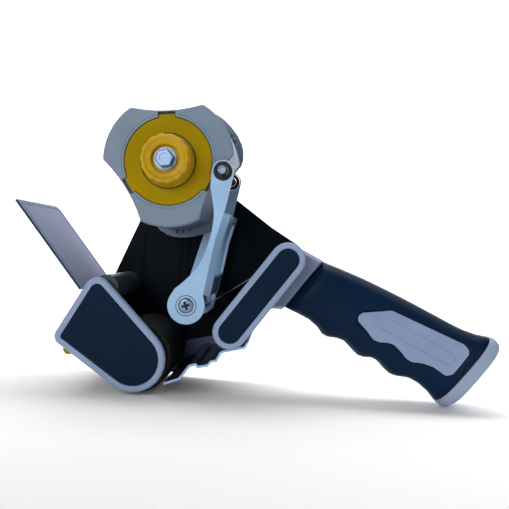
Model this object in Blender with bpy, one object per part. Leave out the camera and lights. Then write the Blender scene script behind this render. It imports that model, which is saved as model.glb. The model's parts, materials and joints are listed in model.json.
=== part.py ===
"""Hand tape dispenser: a pistol grip, a side plate with a tape hub, a sprung arm and a front roller.

X runs from the wiper flap to the butt of the grip, Z is up and Y runs away from the near side,
where the hub's knob is. While the pieces are made, the hub's axis is at X = 0, Z = 0. At the end
the whole model is lifted and centred, so that it stands on the world's origin.
"""
import math

import bmesh
import bpy
from mathutils import Vector

# Clearances
GAP = 0.0003                       # between pieces that touch
OVERRUN = 0.002                    # how far a cutter reaches past what it cuts
SINK = 0.0006                      # how far joined shapes reach into each other
CORNER_SIDE_SHARE = 0.45           # the most of a side that a rounded corner takes up

# Hub
CORE_RADIUS = 0.0381               # inside radius of a roll's cardboard core
CORE_PLAY = 0.0002
LOBE_RADIUS = CORE_RADIUS - CORE_PLAY
WAIST_RADIUS = 0.029
LOBE_COUNT = 3
LOBE_SPAN = 53                     # degrees
LOBE_TURN = 35.2                   # degrees, direction of the first lobe
LOBE_CORNER = 0.0022
HUB_NEAR = -0.026
HUB_LENGTH = 0.050
HUB_EDGE = 0.001
FLANGE_RADIUS = 0.0430
FLANGE_THICKNESS = 0.0025
HUB_WALL = 0.0025
HUB_BOSS_RADIUS = 0.010
HUB_WEB = 0.0035
POCKET_DEPTH = 0.0034
GUSSET_REACH = 0.0022
GUSSET_LENGTH = 0.0045
GUSSET_THICKNESS = 0.0012
GUSSET_TURNS = (-7, -1, 5)         # degrees about each lobe's middle

# Edge of the far flange at each lobe: degrees from the lobe's middle, and a share of the radius
FLANGE_SHARES = ((-60, 0.698), (-50, 0.709), (-41, 0.749), (-33, 0.814), (-27, 0.898), (-21.6, 0.940),
                 (-14.7, 0.972), (-8.5, 0.988), (0, 0.995), (9, 0.995), (18, 0.998), (26, 1),
                 (31, 0.953), (36, 0.872), (42, 0.779), (50, 0.712))

# Yellow disc
DISC_RADIUS = 0.0252
DISC_THICKNESS = 0.0026
DISC_RECESS = 0.0005
DISC_HOLE = 0.0159
TAB_HALF_WIDTH = 0.0047
TAB_REACH = 0.0014
NOTCH_REACH = 0.0028

# Bolt through the hub, its sleeve, spacer and nut
BOLT_RADIUS = 0.0040
BOLT_HEAD_FLATS = 0.0092
BOLT_HEAD_TURN = 12                # degrees
BOLT_HEAD_HEIGHT = 0.0040
BOLT_HEAD_EDGE = 0.0006
BOLT_HEAD_DIMPLE = 0.0026
BOLT_HEAD_DIMPLE_DEPTH = 0.0004
BOLT_FLANGE_RADIUS = 0.0063
BOLT_FLANGE_THICKNESS = 0.0009
SLEEVE_WALL = 0.0021
SPACER_RADIUS = 0.0070
NUT_FLATS = 0.0130
NUT_HEIGHT = 0.0055
NUT_WASHER_RADIUS = 0.0080
NUT_WASHER_THICKNESS = 0.0012
BOLT_END = 0.0018                  # thread past the nut

# Tension knob, brake spring and its washers
KNOB_PROUD = 0.0110                # from the hub's near face
KNOB_RIM_RADIUS = 0.0138
KNOB_BASE_RADIUS = 0.0152
KNOB_SUNK = 0.0017
KNOB_DISH_DEPTH = 0.0036
KNOB_DISH_RADIUS = 0.0100
KNOB_SEAT_RADIUS = 0.0076
KNOB_FLOOR = 0.0030
KNOB_POCKET_RADIUS = 0.0105
KNOB_SCALLOPS = 12
KNOB_SCALLOP_DEPTH = 0.0006
KNOB_EDGE = 0.0012
BRAKE_WIRE = 0.0012
BRAKE_COIL_RADIUS = 0.0070
BRAKE_CURLS = 4
PRESSURE_RADIUS = 0.0110
PRESSURE_THICKNESS = 0.0012
FRICTION_RADIUS = 0.0120
FRICTION_THICKNESS = 0.0010
COUNTERBORE_RADIUS = 0.0130

# Side plate
FRAME_SHEET = 0.0015
ARM_TO_FRAME = 0.0025
HUB_END_RADIUS = 0.020
FRAME_LEFT_LOW_AT = (-0.0412, -0.0675)
FRAME_LEFT_HIGH_AT = (-0.0266, -0.0315)
FRAME_RIGHT_HIGH_AT = (0.0364, -0.0159)
FRAME_RIGHT_LOW_AT = (0.0600, -0.0323)
FRAME_FOOT_AT = (0.0030, -0.1315)
RIB_HEIGHT = 0.0006
RIB_WIDTH = 0.0022
RIB_TOP = -0.0420
RIB_FOOT = -0.0690
RIB_PLACES = (-0.0235, 0.0012, 0.0062)

# Application roller and its axle
ROLLER_AT = (-0.0123, -0.1135)
ROLLER_RADIUS = 0.0206
RUBBER_THICKNESS = 0.0045
ROLLER_EDGE = 0.0011
ROLLER_LENGTH = 0.050
ROLLER_SIDE_PLAY = 0.0036
CORE_TUBE_WALL = 0.0025
ROLLER_SPOKES = 6
SPOKE_THICKNESS = 0.0018
ROLLER_BOSS_RADIUS = 0.0060
AXLE_RADIUS = 0.0030
AXLE_WASHER_RADIUS = 0.0055
AXLE_WASHER_THICKNESS = 0.0010
AXLE_NUT_FLATS = 0.0100
AXLE_NUT_HEIGHT = 0.0050
AXLE_END = 0.0015
RING_RADIUS = 0.0050
RING_THICKNESS = 0.0006

# Front cover, near side
PANEL_NEAR = -0.032
PANEL_EDGE = 0.0009
PANEL_RIM = 0.0036
BIG_CORNER_RADIUS = 0.0185
TOP_CORNER_AT = (-0.0346, -0.0760)
TOP_CORNER_RADIUS = 0.0077
LEFT_CORNER_AT = (-0.0527, -0.1030)
LEFT_CORNER_RADIUS = 0.0050
INSET_THICKNESS = 0.0011
INSET_SUNK = 0.0006
INNER_SHEET = 0.0015
INNER_INSET = 0.0004

# Cross tube at the top of the front
TUBE_AT = (-0.0312, -0.0738)
TUBE_RADIUS = 0.0070
TIE_RADIUS = 0.0020
TIE_HEAD_RADIUS = 0.0045
TIE_HEAD_HEIGHT = 0.0020
TIE_TAIL_HEIGHT = 0.0007
TIE_TAIL_RADIUS = 0.0025

# Wiper flap, clamp and screws; a narrower shank passes between cover and side plate
FLAP_SHEET = 0.0015
FLAP_END_AT = (-0.0355, -0.0860)
FLAP_LENGTH = 0.0760
FLAP_SLOPE = 50.4                  # degrees below the horizontal
FLAP_NEAR = -0.0320
FLAP_WIDTH = 0.0645
FLAP_CHAMFER = 0.0030
SHANK_NEAR = -0.0255
SHANK_WIDTH = 0.053
SHANK_NEAR_LENGTH = 0.0136
SHANK_FAR_LENGTH = 0.0168
SEAT_LENGTH = 0.0055
SEAT_FROM_END = 0.0010
CLAMP_SHEET = 0.0012
CLAMP_LENGTH = 0.0048
CLAMP_INSET = 0.0030
WIPER_SCREW_RADIUS = 0.0012
WIPER_SCREW_HEAD = 0.0022
WIPER_SCREW_HEAD_HEIGHT = 0.0012
WIPER_SCREW_INSET = 0.0090
WIPER_SCREW_END = 0.0008

# Blade, its bracket and its guard
BRACKET_SHEET = 0.0015
BRACKET_BEND_AT = (-0.0435, -0.0990)
BRACKET_SEAT = 0.0085
BLADE_SLOPE = 41.3                 # degrees below the horizontal, towards -X
BLADE_SHEET = 0.0008
BLADE_FROM_BEND = 0.0010
BLADE_WIDTH = 0.0135
TOOTH_DEPTH = 0.0012
TOOTH_PITCH = 0.0023
BLADE_SIDE_PLAY = 0.0004
GUARD_PIN_ALONG = 0.0035
GUARD_PIN_ASIDE = 0.0043
GUARD_PIN_RADIUS = 0.0015
GUARD_BORE_RADIUS = 0.0019
GUARD_BOSS_RADIUS = 0.0031
GUARD_CHEEK = 0.0012
GUARD_LIP = 0.0018
GUARD_STANDOFF = 0.0010
GUARD_BAR = 0.0024
GUARD_BAR_LENGTH = 0.0058
GUARD_WIRE = 0.0007
GUARD_COIL_RADIUS = 0.0027
GUARD_CURLS = 3.5
GUARD_LEG = 0.0045

# Sprung arm
ARM_PLAY = 0.0020                  # from the hub's near face
ARM_FAR_PLAY = 0.0030              # from the hub's far face
ARM_SHEET = 0.0020
PIVOT_AT = (0.0159, -0.0812)
PIVOT_EYE_RADIUS = 0.0106
EAR_AT = (0.0321, -0.0045)
EAR_RADIUS = 0.0063
ARM_LEFT_SHARES = ((0.099, 0.110), (0.169, 0.059), (0.288, -0.006), (0.400, -0.030),
                   (0.536, -0.037), (0.660, -0.024), (0.748, 0.003), (0.870, 0.058))
ARM_BEND_SHARES = ((0.107, -0.0974), (0.237, -0.0908), (0.513, -0.0768), (0.715, -0.0865))
ARM_NECK_SHARES = ((0.760, -0.0870), (0.870, -0.0835))
WEB_SET = 0.0037                   # how far the web stands to the right of the bend
WINDOW_SHARES = (0.245, 0.665)
WINDOW_MARGIN = 0.0045
WINDOW_CORNER = 0.0030
PIVOT_HOLE_RADIUS = 0.0059
SHAFT_RADIUS = 0.0040
SHAFT_SUNK = 0.0011
PIVOT_FLANGE_RADIUS = 0.0074
PIVOT_FLANGE_THICKNESS = 0.0010
PIVOT_SCREW_RADIUS = 0.0041
PIVOT_SCREW_PROUD = 0.0008
PIVOT_SCREW_CROWN = 0.0029
CROSS_WIDTH = 0.0012
CROSS_LENGTH = 0.0046
CROSS_DEPTH = 0.0010
CROSS_TURNS = (20, 110)            # degrees
EAR_HOLE_RADIUS = 0.0055
EAR_BUSH_WALL = 0.0020
EAR_BUSH_PROUD = 0.0006
STUD_PROUD = 0.0060
STUD_GROOVE = 0.0007
STUD_GROOVE_WIDTH = 0.0009
STUD_TIP = 0.0016
STUD_TIP_RADIUS = 0.0015
ARM_WIRE = 0.0009
ARM_COIL_RADIUS = 0.0062
ARM_CURLS = 5
ARM_CURL_PITCH = 0.0015
ARM_COIL_NEAR = -0.0040
LEG_HOOK = 0.0055
LEG_BEARING_SHARE = 0.56           # place of the leg along the head's side

# Head, rear cover and neck
REAR_UPPER_AT = (0.0715, -0.0519)
REAR_LOWER_AT = (0.0416, -0.0943)
REAR_RADIUS = 0.0098
REAR_RIM = 0.0033
BLOCK_STEP = 0.0006
FRAME_HEAD_RADIUS = 0.0112         # the side plate's, round the same two centres
NECK_SHARES = ((-0.17, 0.12), (-0.134, 0.070), (-0.005, -0.003), (0.006, 1.012), (-0.056, 1.149),
               (-0.17, 1.05))
NECK_THICKNESS = 0.0310
NECK_CHAMFER = 0.0039
TANG_THICKNESS = 0.0120
TANG_START = -0.0125
TANG_END_SHARE = 0.85
TANG_HEIGHT = 0.0150
TANG_DROP_SHARES = (0.42, 0.14)

# Grip and butt cap
GRIP_AT = (0.0925, -0.0518)
GRIP_SLOPE = 36.87                 # degrees below the horizontal
GRIP_LENGTH = 0.1035
GRIP_HEIGHT = 0.0360
GRIP_THICKNESS = 0.0300
GRIP_POWER = 2.9
GRIP_TOP_SHARES = ((0, 0), (0.241, -0.217), (0.505, -0.408), (0.734, -0.550), (0.850, -0.625),
                   (0.920, -0.694), (0.972, -0.764), (1.006, -0.825))
GRIP_LOW_SHARES = ((0, 1.006), (0.087, 0.939), (0.160, 0.894), (0.222, 0.897), (0.271, 0.933),
                   (0.299, 0.919), (0.340, 0.842), (0.390, 0.783), (0.443, 0.800), (0.503, 0.819),
                   (0.530, 0.786), (0.563, 0.711), (0.608, 0.678), (0.660, 0.697), (0.709, 0.708),
                   (0.737, 0.678), (0.772, 0.611), (0.809, 0.553), (0.872, 0.517), (0.946, 0.519),
                   (1.000, 0.553))
CAP_LENGTH = 0.0098
CAP_SHARES = ((0.00, -0.831, 0.556, 1.00), (0.34, -0.864, 0.567, 1.01), (0.65, -0.847, 0.542, 0.97),
              (0.85, -0.789, 0.453, 0.83), (0.95, -0.664, 0.225, 0.60), (0.98, -0.553, 0.058, 0.42))
INLAY_SHARES = ((0.355, 0.371), (0.342, 0.290), (0.352, 0.215), (0.466, -0.108), (0.505, -0.140),
                (0.892, -0.444), (0.934, -0.423), (0.946, -0.352), (0.949, 0.038), (0.926, 0.132),
                (0.843, 0.151), (0.784, 0.217), (0.735, 0.313), (0.700, 0.331), (0.642, 0.299),
                (0.595, 0.290), (0.563, 0.328), (0.526, 0.411), (0.491, 0.444), (0.445, 0.407),
                (0.409, 0.391))
INLAY_CENTRE_SHARES = (0.66, 0.02)
INLAY_HALF_LENGTH = 0.0260
INLAY_CORNER = 0.0025
INLAY_DEPTH = 0.0034
INLAY_PROUD = 0.0005
GRIP_SCREW_SHARES = ((0.10, 0.45), (0.48, 0.22))
GRIP_SCREW_RADIUS = 0.0016
GRIP_SCREW_HEAD = 0.0032
GRIP_SCREW_HEAD_HEIGHT = 0.0022
GRIP_SCREW_SUNK = 0.0040
GRIP_SCREW_BITE = 0.0080

# Stepped guide plate under the head, points along the middle of its sheet
GUIDE_SHEET = 0.0013
GUIDE_NEAR = -0.0300
GUIDE_FLANGE = 0.0038              # height of the doubled far edge, which is bent up as far as the head
GUIDE_FLANGE_BENDS = 8
GUIDE_BACK_AT = ((0.0290, -0.1048), (0.0035, -0.1110))    # top of the far edge, right and left
GUIDE_AT = ((0.0060, -0.1260), (0.0146, -0.1226), (0.0199, -0.1149), (0.0234, -0.1138),
            (0.0246, -0.1152), (0.0300, -0.1140), (0.0320, -0.1116), (0.0348, -0.1110),
            (0.0370, -0.1065), (0.0388, -0.1055), (0.0505, -0.1024), (0.0518, -0.0994))

# Screws through the side plate
FRAME_SCREW_RADIUS = 0.0020
FRAME_SCREW_HEAD = 0.0042
FRAME_SCREW_HEAD_HEIGHT = 0.0022
FRAME_SCREW_BITE = 0.0120

# Faces along Y that follow from the sizes
HUB_FAR = HUB_NEAR + HUB_LENGTH
ARM_NEAR = HUB_NEAR - ARM_PLAY - ARM_SHEET
ARM_FAR = HUB_FAR + ARM_FAR_PLAY + ARM_SHEET
FRAME_FACE = ARM_FAR + ARM_TO_FRAME
FRAME_BACK = FRAME_FACE + FRAME_SHEET
INNER_FACE = SHANK_NEAR - GAP - GAP
INNER_BACK = INNER_FACE - INNER_SHEET
PANEL_FAR = INNER_BACK - GAP
FLAP_FAR = FLAP_NEAR + FLAP_WIDTH
SHANK_FAR = SHANK_NEAR + SHANK_WIDTH
ROLLER_NEAR = INNER_FACE + ROLLER_SIDE_PLAY
ROLLER_FAR = ROLLER_NEAR + ROLLER_LENGTH
GUARD_NEAR = INNER_FACE + GAP
GUARD_FAR = SHANK_FAR + GUARD_CHEEK

# Directions in the XZ plane
FLAP_ALONG = (math.cos(math.radians(FLAP_SLOPE)), -math.sin(math.radians(FLAP_SLOPE)))
FLAP_ASIDE = (FLAP_ALONG[1], -FLAP_ALONG[0])
BLADE_ALONG = (-math.cos(math.radians(BLADE_SLOPE)), -math.sin(math.radians(BLADE_SLOPE)))
BLADE_ASIDE = (-BLADE_ALONG[1], BLADE_ALONG[0])
GRIP_ALONG = (math.cos(math.radians(GRIP_SLOPE)), -math.sin(math.radians(GRIP_SLOPE)))
GRIP_DROP = (GRIP_ALONG[1], -GRIP_ALONG[0])

HUB_AT = (0, 0)


def look(name, colour, roughness, metallic=0.0):
    """A Principled material with one colour, roughness and metallic value."""
    material = bpy.data.materials.new(name)
    material.use_nodes = True
    shader = material.node_tree.nodes["Principled BSDF"]
    shader.inputs["Base Color"].default_value = (*colour, 1)
    shader.inputs["Roughness"].default_value = roughness
    shader.inputs["Metallic"].default_value = metallic
    material.diffuse_color = (*colour, 1)
    return material


def tinted(name, colour, roughness, metallic=0.0):
    """A function that makes the piece's own copy of this finish."""
    return lambda piece: look(f"{name}_{piece}", colour, roughness, metallic)


BLACK_STEEL = tinted("black_steel", (0.012, 0.014, 0.018), 0.55, 0.2)
ZINC = tinted("zinc", (0.50, 0.60, 0.74), 0.38, 0.85)
BRIGHT_STEEL = tinted("bright_steel", (0.66, 0.68, 0.72), 0.22, 1.0)
DARK_STEEL = tinted("dark_steel", (0.08, 0.08, 0.09), 0.4, 0.9)
GREY_PLASTIC = tinted("grey_plastic", (0.25, 0.29, 0.37), 0.5)
NAVY_PLASTIC = tinted("navy_plastic", (0.012, 0.030, 0.060), 0.55)
NAVY_RUBBER = tinted("navy_rubber", (0.008, 0.022, 0.045), 0.6)
YELLOW_PLASTIC = tinted("yellow_plastic", (0.50, 0.28, 0.006), 0.42)
BLACK_PLASTIC = tinted("black_plastic", (0.010, 0.011, 0.013), 0.5)
BLACK_RUBBER = tinted("black_rubber", (0.010, 0.010, 0.011), 0.75)
PALE_FLAP = tinted("pale_flap", (0.42, 0.42, 0.52), 0.35)
BRASS = tinted("brass", (0.55, 0.38, 0.14), 0.35, 1.0)
FELT = tinted("felt", (0.30, 0.27, 0.22), 0.95)


def moved(at, along, far, aside=(0, 0), side=0.0):
    """The point a distance along one direction and a distance along another from a place."""
    return (at[0] + along[0] * far + aside[0] * side, at[1] + along[1] * far + aside[1] * side)


def arc(centre, radius, start, end, steps):
    """Points of an arc in the XZ plane, from one angle to another, in degrees."""
    turns = [math.radians(start + (end - start) * i / steps) for i in range(steps + 1)]
    return [(centre[0] + radius * math.cos(t), centre[1] + radius * math.sin(t)) for t in turns]


def ring(centre, radius, steps):
    """A full circle of points in the XZ plane."""
    return arc(centre, radius, 0, 360, steps)[:-1]


def belt(stops, steps=24):
    """The outline round circles (x, z, r) taken counterclockwise; a radius of 0 is a plain corner."""
    count = len(stops)
    normals = []
    for i, (x, z, r) in enumerate(stops):
        next_x, next_z, next_r = stops[(i + 1) % count]
        span = math.hypot(next_x - x, next_z - z)
        heading = math.atan2(next_z - z, next_x - x)
        normals.append(heading - math.pi / 2 + math.asin((r - next_r) / span))
    points = []
    for i, (x, z, r) in enumerate(stops):
        turn = (normals[i] - normals[i - 1]) % (2 * math.pi)
        if r == 0 or turn > 3 * math.pi / 2:
            points.append((x, z))
            continue
        pieces = max(1, math.ceil(turn * steps / (2 * math.pi)))
        for j in range(pieces + 1):
            t = normals[i - 1] + turn * j / pieces
            points.append((x + r * math.cos(t), z + r * math.sin(t)))
    return points


def smooth(points, steps=4):
    """Points on a smooth curve through the given points."""
    result = []
    last = len(points) - 1
    for i in range(last):
        p0, p1, p2, p3 = (Vector(points[min(max(k, 0), last)]) for k in (i - 1, i, i + 1, i + 2))
        for j in range(steps):
            t = j / steps
            spot = (2 * p1 + (p2 - p0) * t + (2 * p0 - 5 * p1 + 4 * p2 - p3) * t ** 2
                    + (3 * p1 - p0 - 3 * p2 + p3) * t ** 3) / 2
            result.append(tuple(spot))
    result.append(tuple(points[-1]))
    return result


def rounded(points, radius, steps=3, sharp=12):
    """The closed outline with each corner that turns by more than sharp degrees rounded."""
    result = []
    count = len(points)
    for i, point in enumerate(points):
        here = Vector(point)
        back = Vector(points[i - 1]) - here
        ahead = Vector(points[(i + 1) % count]) - here
        turn = math.pi - back.angle(ahead)
        if turn < math.radians(sharp):
            result.append(point)
            continue
        most = CORNER_SIDE_SHARE * min(back.length, ahead.length)
        reach = min(radius * math.tan(turn / 2), most)
        start, end = here + back.normalized() * reach, here + ahead.normalized() * reach
        for j in range(steps + 1):
            t = j / steps
            result.append(tuple(start * (1 - t) ** 2 + here * 2 * t * (1 - t) + end * t ** 2))
    return result


def strip(points, thickness):
    """The closed outline of a bent sheet whose middle follows the points."""
    left, right = [], []
    for i, point in enumerate(points):
        here = Vector(point)
        before = (here - Vector(points[i - 1])).normalized() if i else None
        after = (Vector(points[i + 1]) - here).normalized() if i + 1 < len(points) else None
        way = ((before or after) + (after or before)).normalized()
        normal = Vector((-way.y, way.x))
        stretch = 1 / max(0.5, way.dot(after or before))
        left.append(tuple(here + normal * (thickness / 2 * stretch)))
        right.append(tuple(here - normal * (thickness / 2 * stretch)))
    return left + right[::-1]


def dress(piece, finish):
    """Gives a piece its own material and smooth shading with sharp edges."""
    piece.data.materials.clear()
    if finish:
        piece.data.materials.append(finish(piece.name))
    piece.data.shade_smooth()
    piece.data.set_sharp_from_angle(angle=math.radians(32))


def solid(name, bm, at, finish):
    """Turns a bmesh into an object whose origin is at a place in the XZ plane."""
    bmesh.ops.translate(bm, verts=bm.verts, vec=(-at[0], 0, -at[1]))
    bmesh.ops.recalc_face_normals(bm, faces=bm.faces)
    mesh = bpy.data.meshes.new(name)
    bm.to_mesh(mesh)
    bm.free()
    piece = bpy.data.objects.new(name, mesh)
    piece.location = (at[0], 0, at[1])
    bpy.context.scene.collection.objects.link(piece)
    piece.parent = STAND
    dress(piece, finish)
    return piece


def loft(name, loops, finish=None, at=HUB_AT):
    """A closed skin over loops of (x, y, z) points that all have the same count."""
    bm = bmesh.new()
    rows = [[bm.verts.new(point) for point in loop] for loop in loops]
    bm.faces.new(rows[0])
    bm.faces.new(rows[-1][::-1])
    for row, after in zip(rows, rows[1:]):
        for i in range(len(row)):
            j = (i + 1) % len(row)
            bm.faces.new((row[i], row[j], after[j], after[i]))
    return solid(name, bm, at, finish)


def prism(name, outline, near, far, finish=None, at=HUB_AT):
    """An outline in the XZ plane, extruded along Y."""
    return loft(name, [[(x, y, z) for x, z in outline] for y in (near, far)], finish, at)


def slab(name, shape, near, far, edge, finish=None, at=HUB_AT):
    """A prism with chamfered rims, where shape gives the outline for an inset."""
    levels = ((edge, near), (0, near + edge), (0, far - edge), (edge, far))
    return loft(name, [[(x, y, z) for x, z in shape(inset)] for inset, y in levels], finish, at)


def turned(name, profile, at, finish=None, steps=24, hollow=True):
    """A profile of (radius, y) points turned about the Y axis through a place."""
    bm = bmesh.new()
    rows = []
    for radius, y in profile:
        if radius == 0:
            rows.append([bm.verts.new((at[0], y, at[1]))])
        else:
            rows.append([bm.verts.new((x, y, z)) for x, z in ring(at, radius, steps)])
    pairs = list(zip(rows, rows[1:]))
    if hollow:
        pairs.append((rows[-1], rows[0]))
    for row, after in pairs:
        for i in range(steps):
            j = (i + 1) % steps
            corners = (row[i % len(row)], row[j % len(row)], after[j % len(after)], after[i % len(after)])
            bm.faces.new(list(dict.fromkeys(corners)))
    return solid(name, bm, at, finish)


def disc(name, at, radius, near, far, finish=None, steps=24, bore=0.0):
    """A plain round piece along Y, with a bore if one is given."""
    if bore:
        return turned(name, ((bore, near), (radius, near), (radius, far), (bore, far)), at, finish, steps)
    return turned(name, ((0, near), (radius, near), (radius, far), (0, far)), at, finish, steps, False)


def hexagon(centre, flats, turn=0):
    """The outline of a hexagon of a width across flats."""
    return ring_turned(centre, flats / 2 / math.cos(math.pi / 6), 6, turn)


def ring_turned(centre, radius, steps, turn):
    """A circle of points that starts at an angle in degrees."""
    return arc(centre, radius, turn, turn + 360, steps)[:-1]


def combine(piece, tool, operation):
    """Cuts a piece with a tool or joins the tool to it, and takes the tool away."""
    step = piece.modifiers.new("joint", "BOOLEAN")
    step.operation = operation
    step.object = tool
    tool.hide_render = True
    tool.display_type = "WIRE"
    bpy.context.view_layer.update()
    graph = bpy.context.evaluated_depsgraph_get()
    mesh = bpy.data.meshes.new_from_object(piece.evaluated_get(graph))
    finish = piece.data.materials[0] if len(piece.data.materials) else None
    piece.modifiers.clear()
    piece.data = mesh
    mesh.materials.clear()
    if finish:
        mesh.materials.append(finish)
    mesh.shade_smooth()
    mesh.set_sharp_from_angle(angle=math.radians(32))
    bpy.data.objects.remove(tool)


def cut(piece, *tools):
    """Takes the tools' shapes out of a piece."""
    for tool in tools:
        combine(piece, tool, "DIFFERENCE")
    return piece


def weld(piece, *tools):
    """Joins the tools' shapes to a piece."""
    for tool in tools:
        combine(piece, tool, "UNION")
    return piece


def bore(piece, at, radius, near, far, steps=24):
    """A round hole along Y."""
    return cut(piece, disc("cutter", at, radius, near - OVERRUN, far + OVERRUN, steps=steps))


def wire(name, points, radius, finish, at=HUB_AT, sides=1):
    """A round wire along the points, as a curve with closed ends."""
    curve = bpy.data.curves.new(name, "CURVE")
    curve.dimensions = "3D"
    curve.bevel_depth = radius
    curve.bevel_resolution = sides
    curve.use_fill_caps = True
    spline = curve.splines.new("POLY")
    spline.points.add(len(points) - 1)
    for spot, (x, y, z) in zip(spline.points, points):
        spot.co = (x - at[0], y, z - at[1], 1)
    piece = bpy.data.objects.new(name, curve)
    piece.location = (at[0], 0, at[1])
    curve.materials.append(finish(name))
    bpy.context.scene.collection.objects.link(piece)
    piece.parent = STAND
    return piece


def say_wire_gap(name, points, radius, skip):
    """Prints the least gap between stretches of a wire that aren't neighbours."""
    spots = [Vector(point) for point in points]
    least = min((spots[i] - spots[j]).length for i in range(len(spots)) for j in range(i + skip, len(spots)))
    print(f"{name}: least gap to itself {(least - 2 * radius) * 1000:.2f} mm")


def coil(at, radius, near, far, curls, start, steps=9):
    """Points of a helix along Y, from near to far, which starts at an angle in degrees."""
    count = round(abs(curls) * steps)
    points = []
    for i in range(count + 1):
        t = math.radians(start + 360 * curls * i / count)
        y = near + (far - near) * i / count
        points.append((at[0] + radius * math.cos(t), y, at[1] + radius * math.sin(t)))
    return points


def lobed(inset=0.0, lobe=LOBE_RADIUS, waist=WAIST_RADIUS):
    """The hub's outline: round lobes with slightly hollow sides between them."""
    half_gap = math.radians((360 / LOBE_COUNT - LOBE_SPAN) / 2)
    corner_out = lobe * math.cos(half_gap)
    corner_aside = lobe * math.sin(half_gap)
    points = []
    for k in range(LOBE_COUNT):
        middle = LOBE_TURN + 360 / LOBE_COUNT * k
        points += arc(HUB_AT, lobe, middle - LOBE_SPAN / 2, middle + LOBE_SPAN / 2, 7)
        side = math.radians(middle + 180 / LOBE_COUNT)
        for j in range(1, 6):
            t = j / 3 - 1
            out = waist + (corner_out - waist) * t ** 2
            aside = corner_aside * t
            points.append((out * math.cos(side) - aside * math.sin(side),
                           out * math.sin(side) + aside * math.cos(side)))
    points = rounded(points, LOBE_CORNER, 2, 20)
    shrink = 1 - inset / lobe
    return [(x * shrink, z * shrink) for x, z in points]


def flange_outline():
    """The edge of the hub's far flange, which is wider on one side of each lobe."""
    points = []
    for k in range(LOBE_COUNT):
        for turn, share in FLANGE_SHARES:
            t = math.radians(LOBE_TURN + 360 / LOBE_COUNT * k + turn)
            points.append((share * FLANGE_RADIUS * math.cos(t), share * FLANGE_RADIUS * math.sin(t)))
    return points


def tab_shapes(reach, half_width, near, far):
    """Three blocks over the hub's hollow sides, out to a radius, for tabs or their notches."""
    blocks = []
    for k in range(LOBE_COUNT):
        side = math.radians(LOBE_TURN + 360 / LOBE_COUNT * (k + 0.5))
        along, aside = (math.cos(side), math.sin(side)), (-math.sin(side), math.cos(side))
        inner, outer = DISC_RADIUS - TAB_HALF_WIDTH, DISC_RADIUS + reach
        corners = ((inner, -half_width), (outer, -half_width), (outer, half_width), (inner, half_width))
        blocks.append(prism("cutter", [moved(HUB_AT, along, a, aside, b) for a, b in corners], near, far))
    return blocks


def make_hub():
    """The hub turns on a sleeve, and is hollow from its far end."""
    hub = loft("hub", [[(x, y, z) for x, z in lobed(inset)]
                       for inset, y in ((HUB_EDGE, HUB_NEAR), (0, HUB_NEAR + HUB_EDGE), (0, HUB_FAR - SINK))],
               GREY_PLASTIC)
    flange_near = HUB_FAR - FLANGE_THICKNESS
    weld(hub, prism("tool", flange_outline(), flange_near, HUB_FAR))
    for k in range(LOBE_COUNT):
        for turn in GUSSET_TURNS:
            t = math.radians(LOBE_TURN + 360 / LOBE_COUNT * k + turn)
            along, aside = (math.cos(t), math.sin(t)), (-math.sin(t), math.cos(t))
            ends = (LOBE_RADIUS - SINK, LOBE_RADIUS + GUSSET_REACH)
            half = GUSSET_THICKNESS / 2
            corners = ((ends[0], -half), (ends[1], -half), (ends[1], half), (ends[0], half))
            weld(hub, prism("tool", [moved(HUB_AT, along, a, aside, b) for a, b in corners],
                            flange_near - GUSSET_LENGTH, flange_near + SINK))
    pocket_floor = HUB_NEAR + POCKET_DEPTH
    web_near = pocket_floor + FRICTION_THICKNESS + PRESSURE_THICKNESS + BRAKE_WIRE
    web_far = web_near + HUB_WEB
    hollow = prism("cutter", lobed(HUB_WALL), web_far, HUB_FAR + OVERRUN)
    cut(hollow, disc("cutter", HUB_AT, HUB_BOSS_RADIUS, web_far - OVERRUN, HUB_FAR + OVERRUN + OVERRUN))
    cut(hub, hollow)
    cut(hub, disc("cutter", HUB_AT, DISC_RADIUS + GAP, HUB_NEAR - OVERRUN, pocket_floor, steps=48))
    cut(hub, *tab_shapes(NOTCH_REACH, TAB_HALF_WIDTH + GAP, HUB_NEAR - OVERRUN, pocket_floor))
    cut(hub, disc("cutter", HUB_AT, COUNTERBORE_RADIUS, pocket_floor - OVERRUN, web_near, steps=36))
    bore(hub, HUB_AT, BOLT_RADIUS + GAP + SLEEVE_WALL + GAP, web_near, HUB_FAR)
    sleeve_near = web_near + GAP
    disc("hub_sleeve", HUB_AT, BOLT_RADIUS + GAP + SLEEVE_WALL, sleeve_near, HUB_FAR + GAP, BRASS,
         bore=BOLT_RADIUS + GAP)
    return web_near


def make_hub_disc():
    """The yellow disc drops into the hub's pocket, with three tabs in its notches."""
    near = HUB_NEAR + DISC_RECESS
    far = near + DISC_THICKNESS
    plate = disc("hub_disc", HUB_AT, DISC_RADIUS, near, far, YELLOW_PLASTIC, 48)
    weld(plate, *tab_shapes(TAB_REACH, TAB_HALF_WIDTH, near, far))
    bore(plate, HUB_AT, DISC_HOLE, near, far, 36)


def knob_row(radius, y, depth, steps=48):
    """A circle of points at a depth, drawn in by the knob's scallops."""
    points = []
    for i in range(steps):
        t = 2 * math.pi * i / steps
        here = radius - depth * (1 - abs(math.cos(KNOB_SCALLOPS / 2 * t)))
        points.append((here * math.cos(t), y, here * math.sin(t)))
    return points


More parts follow.
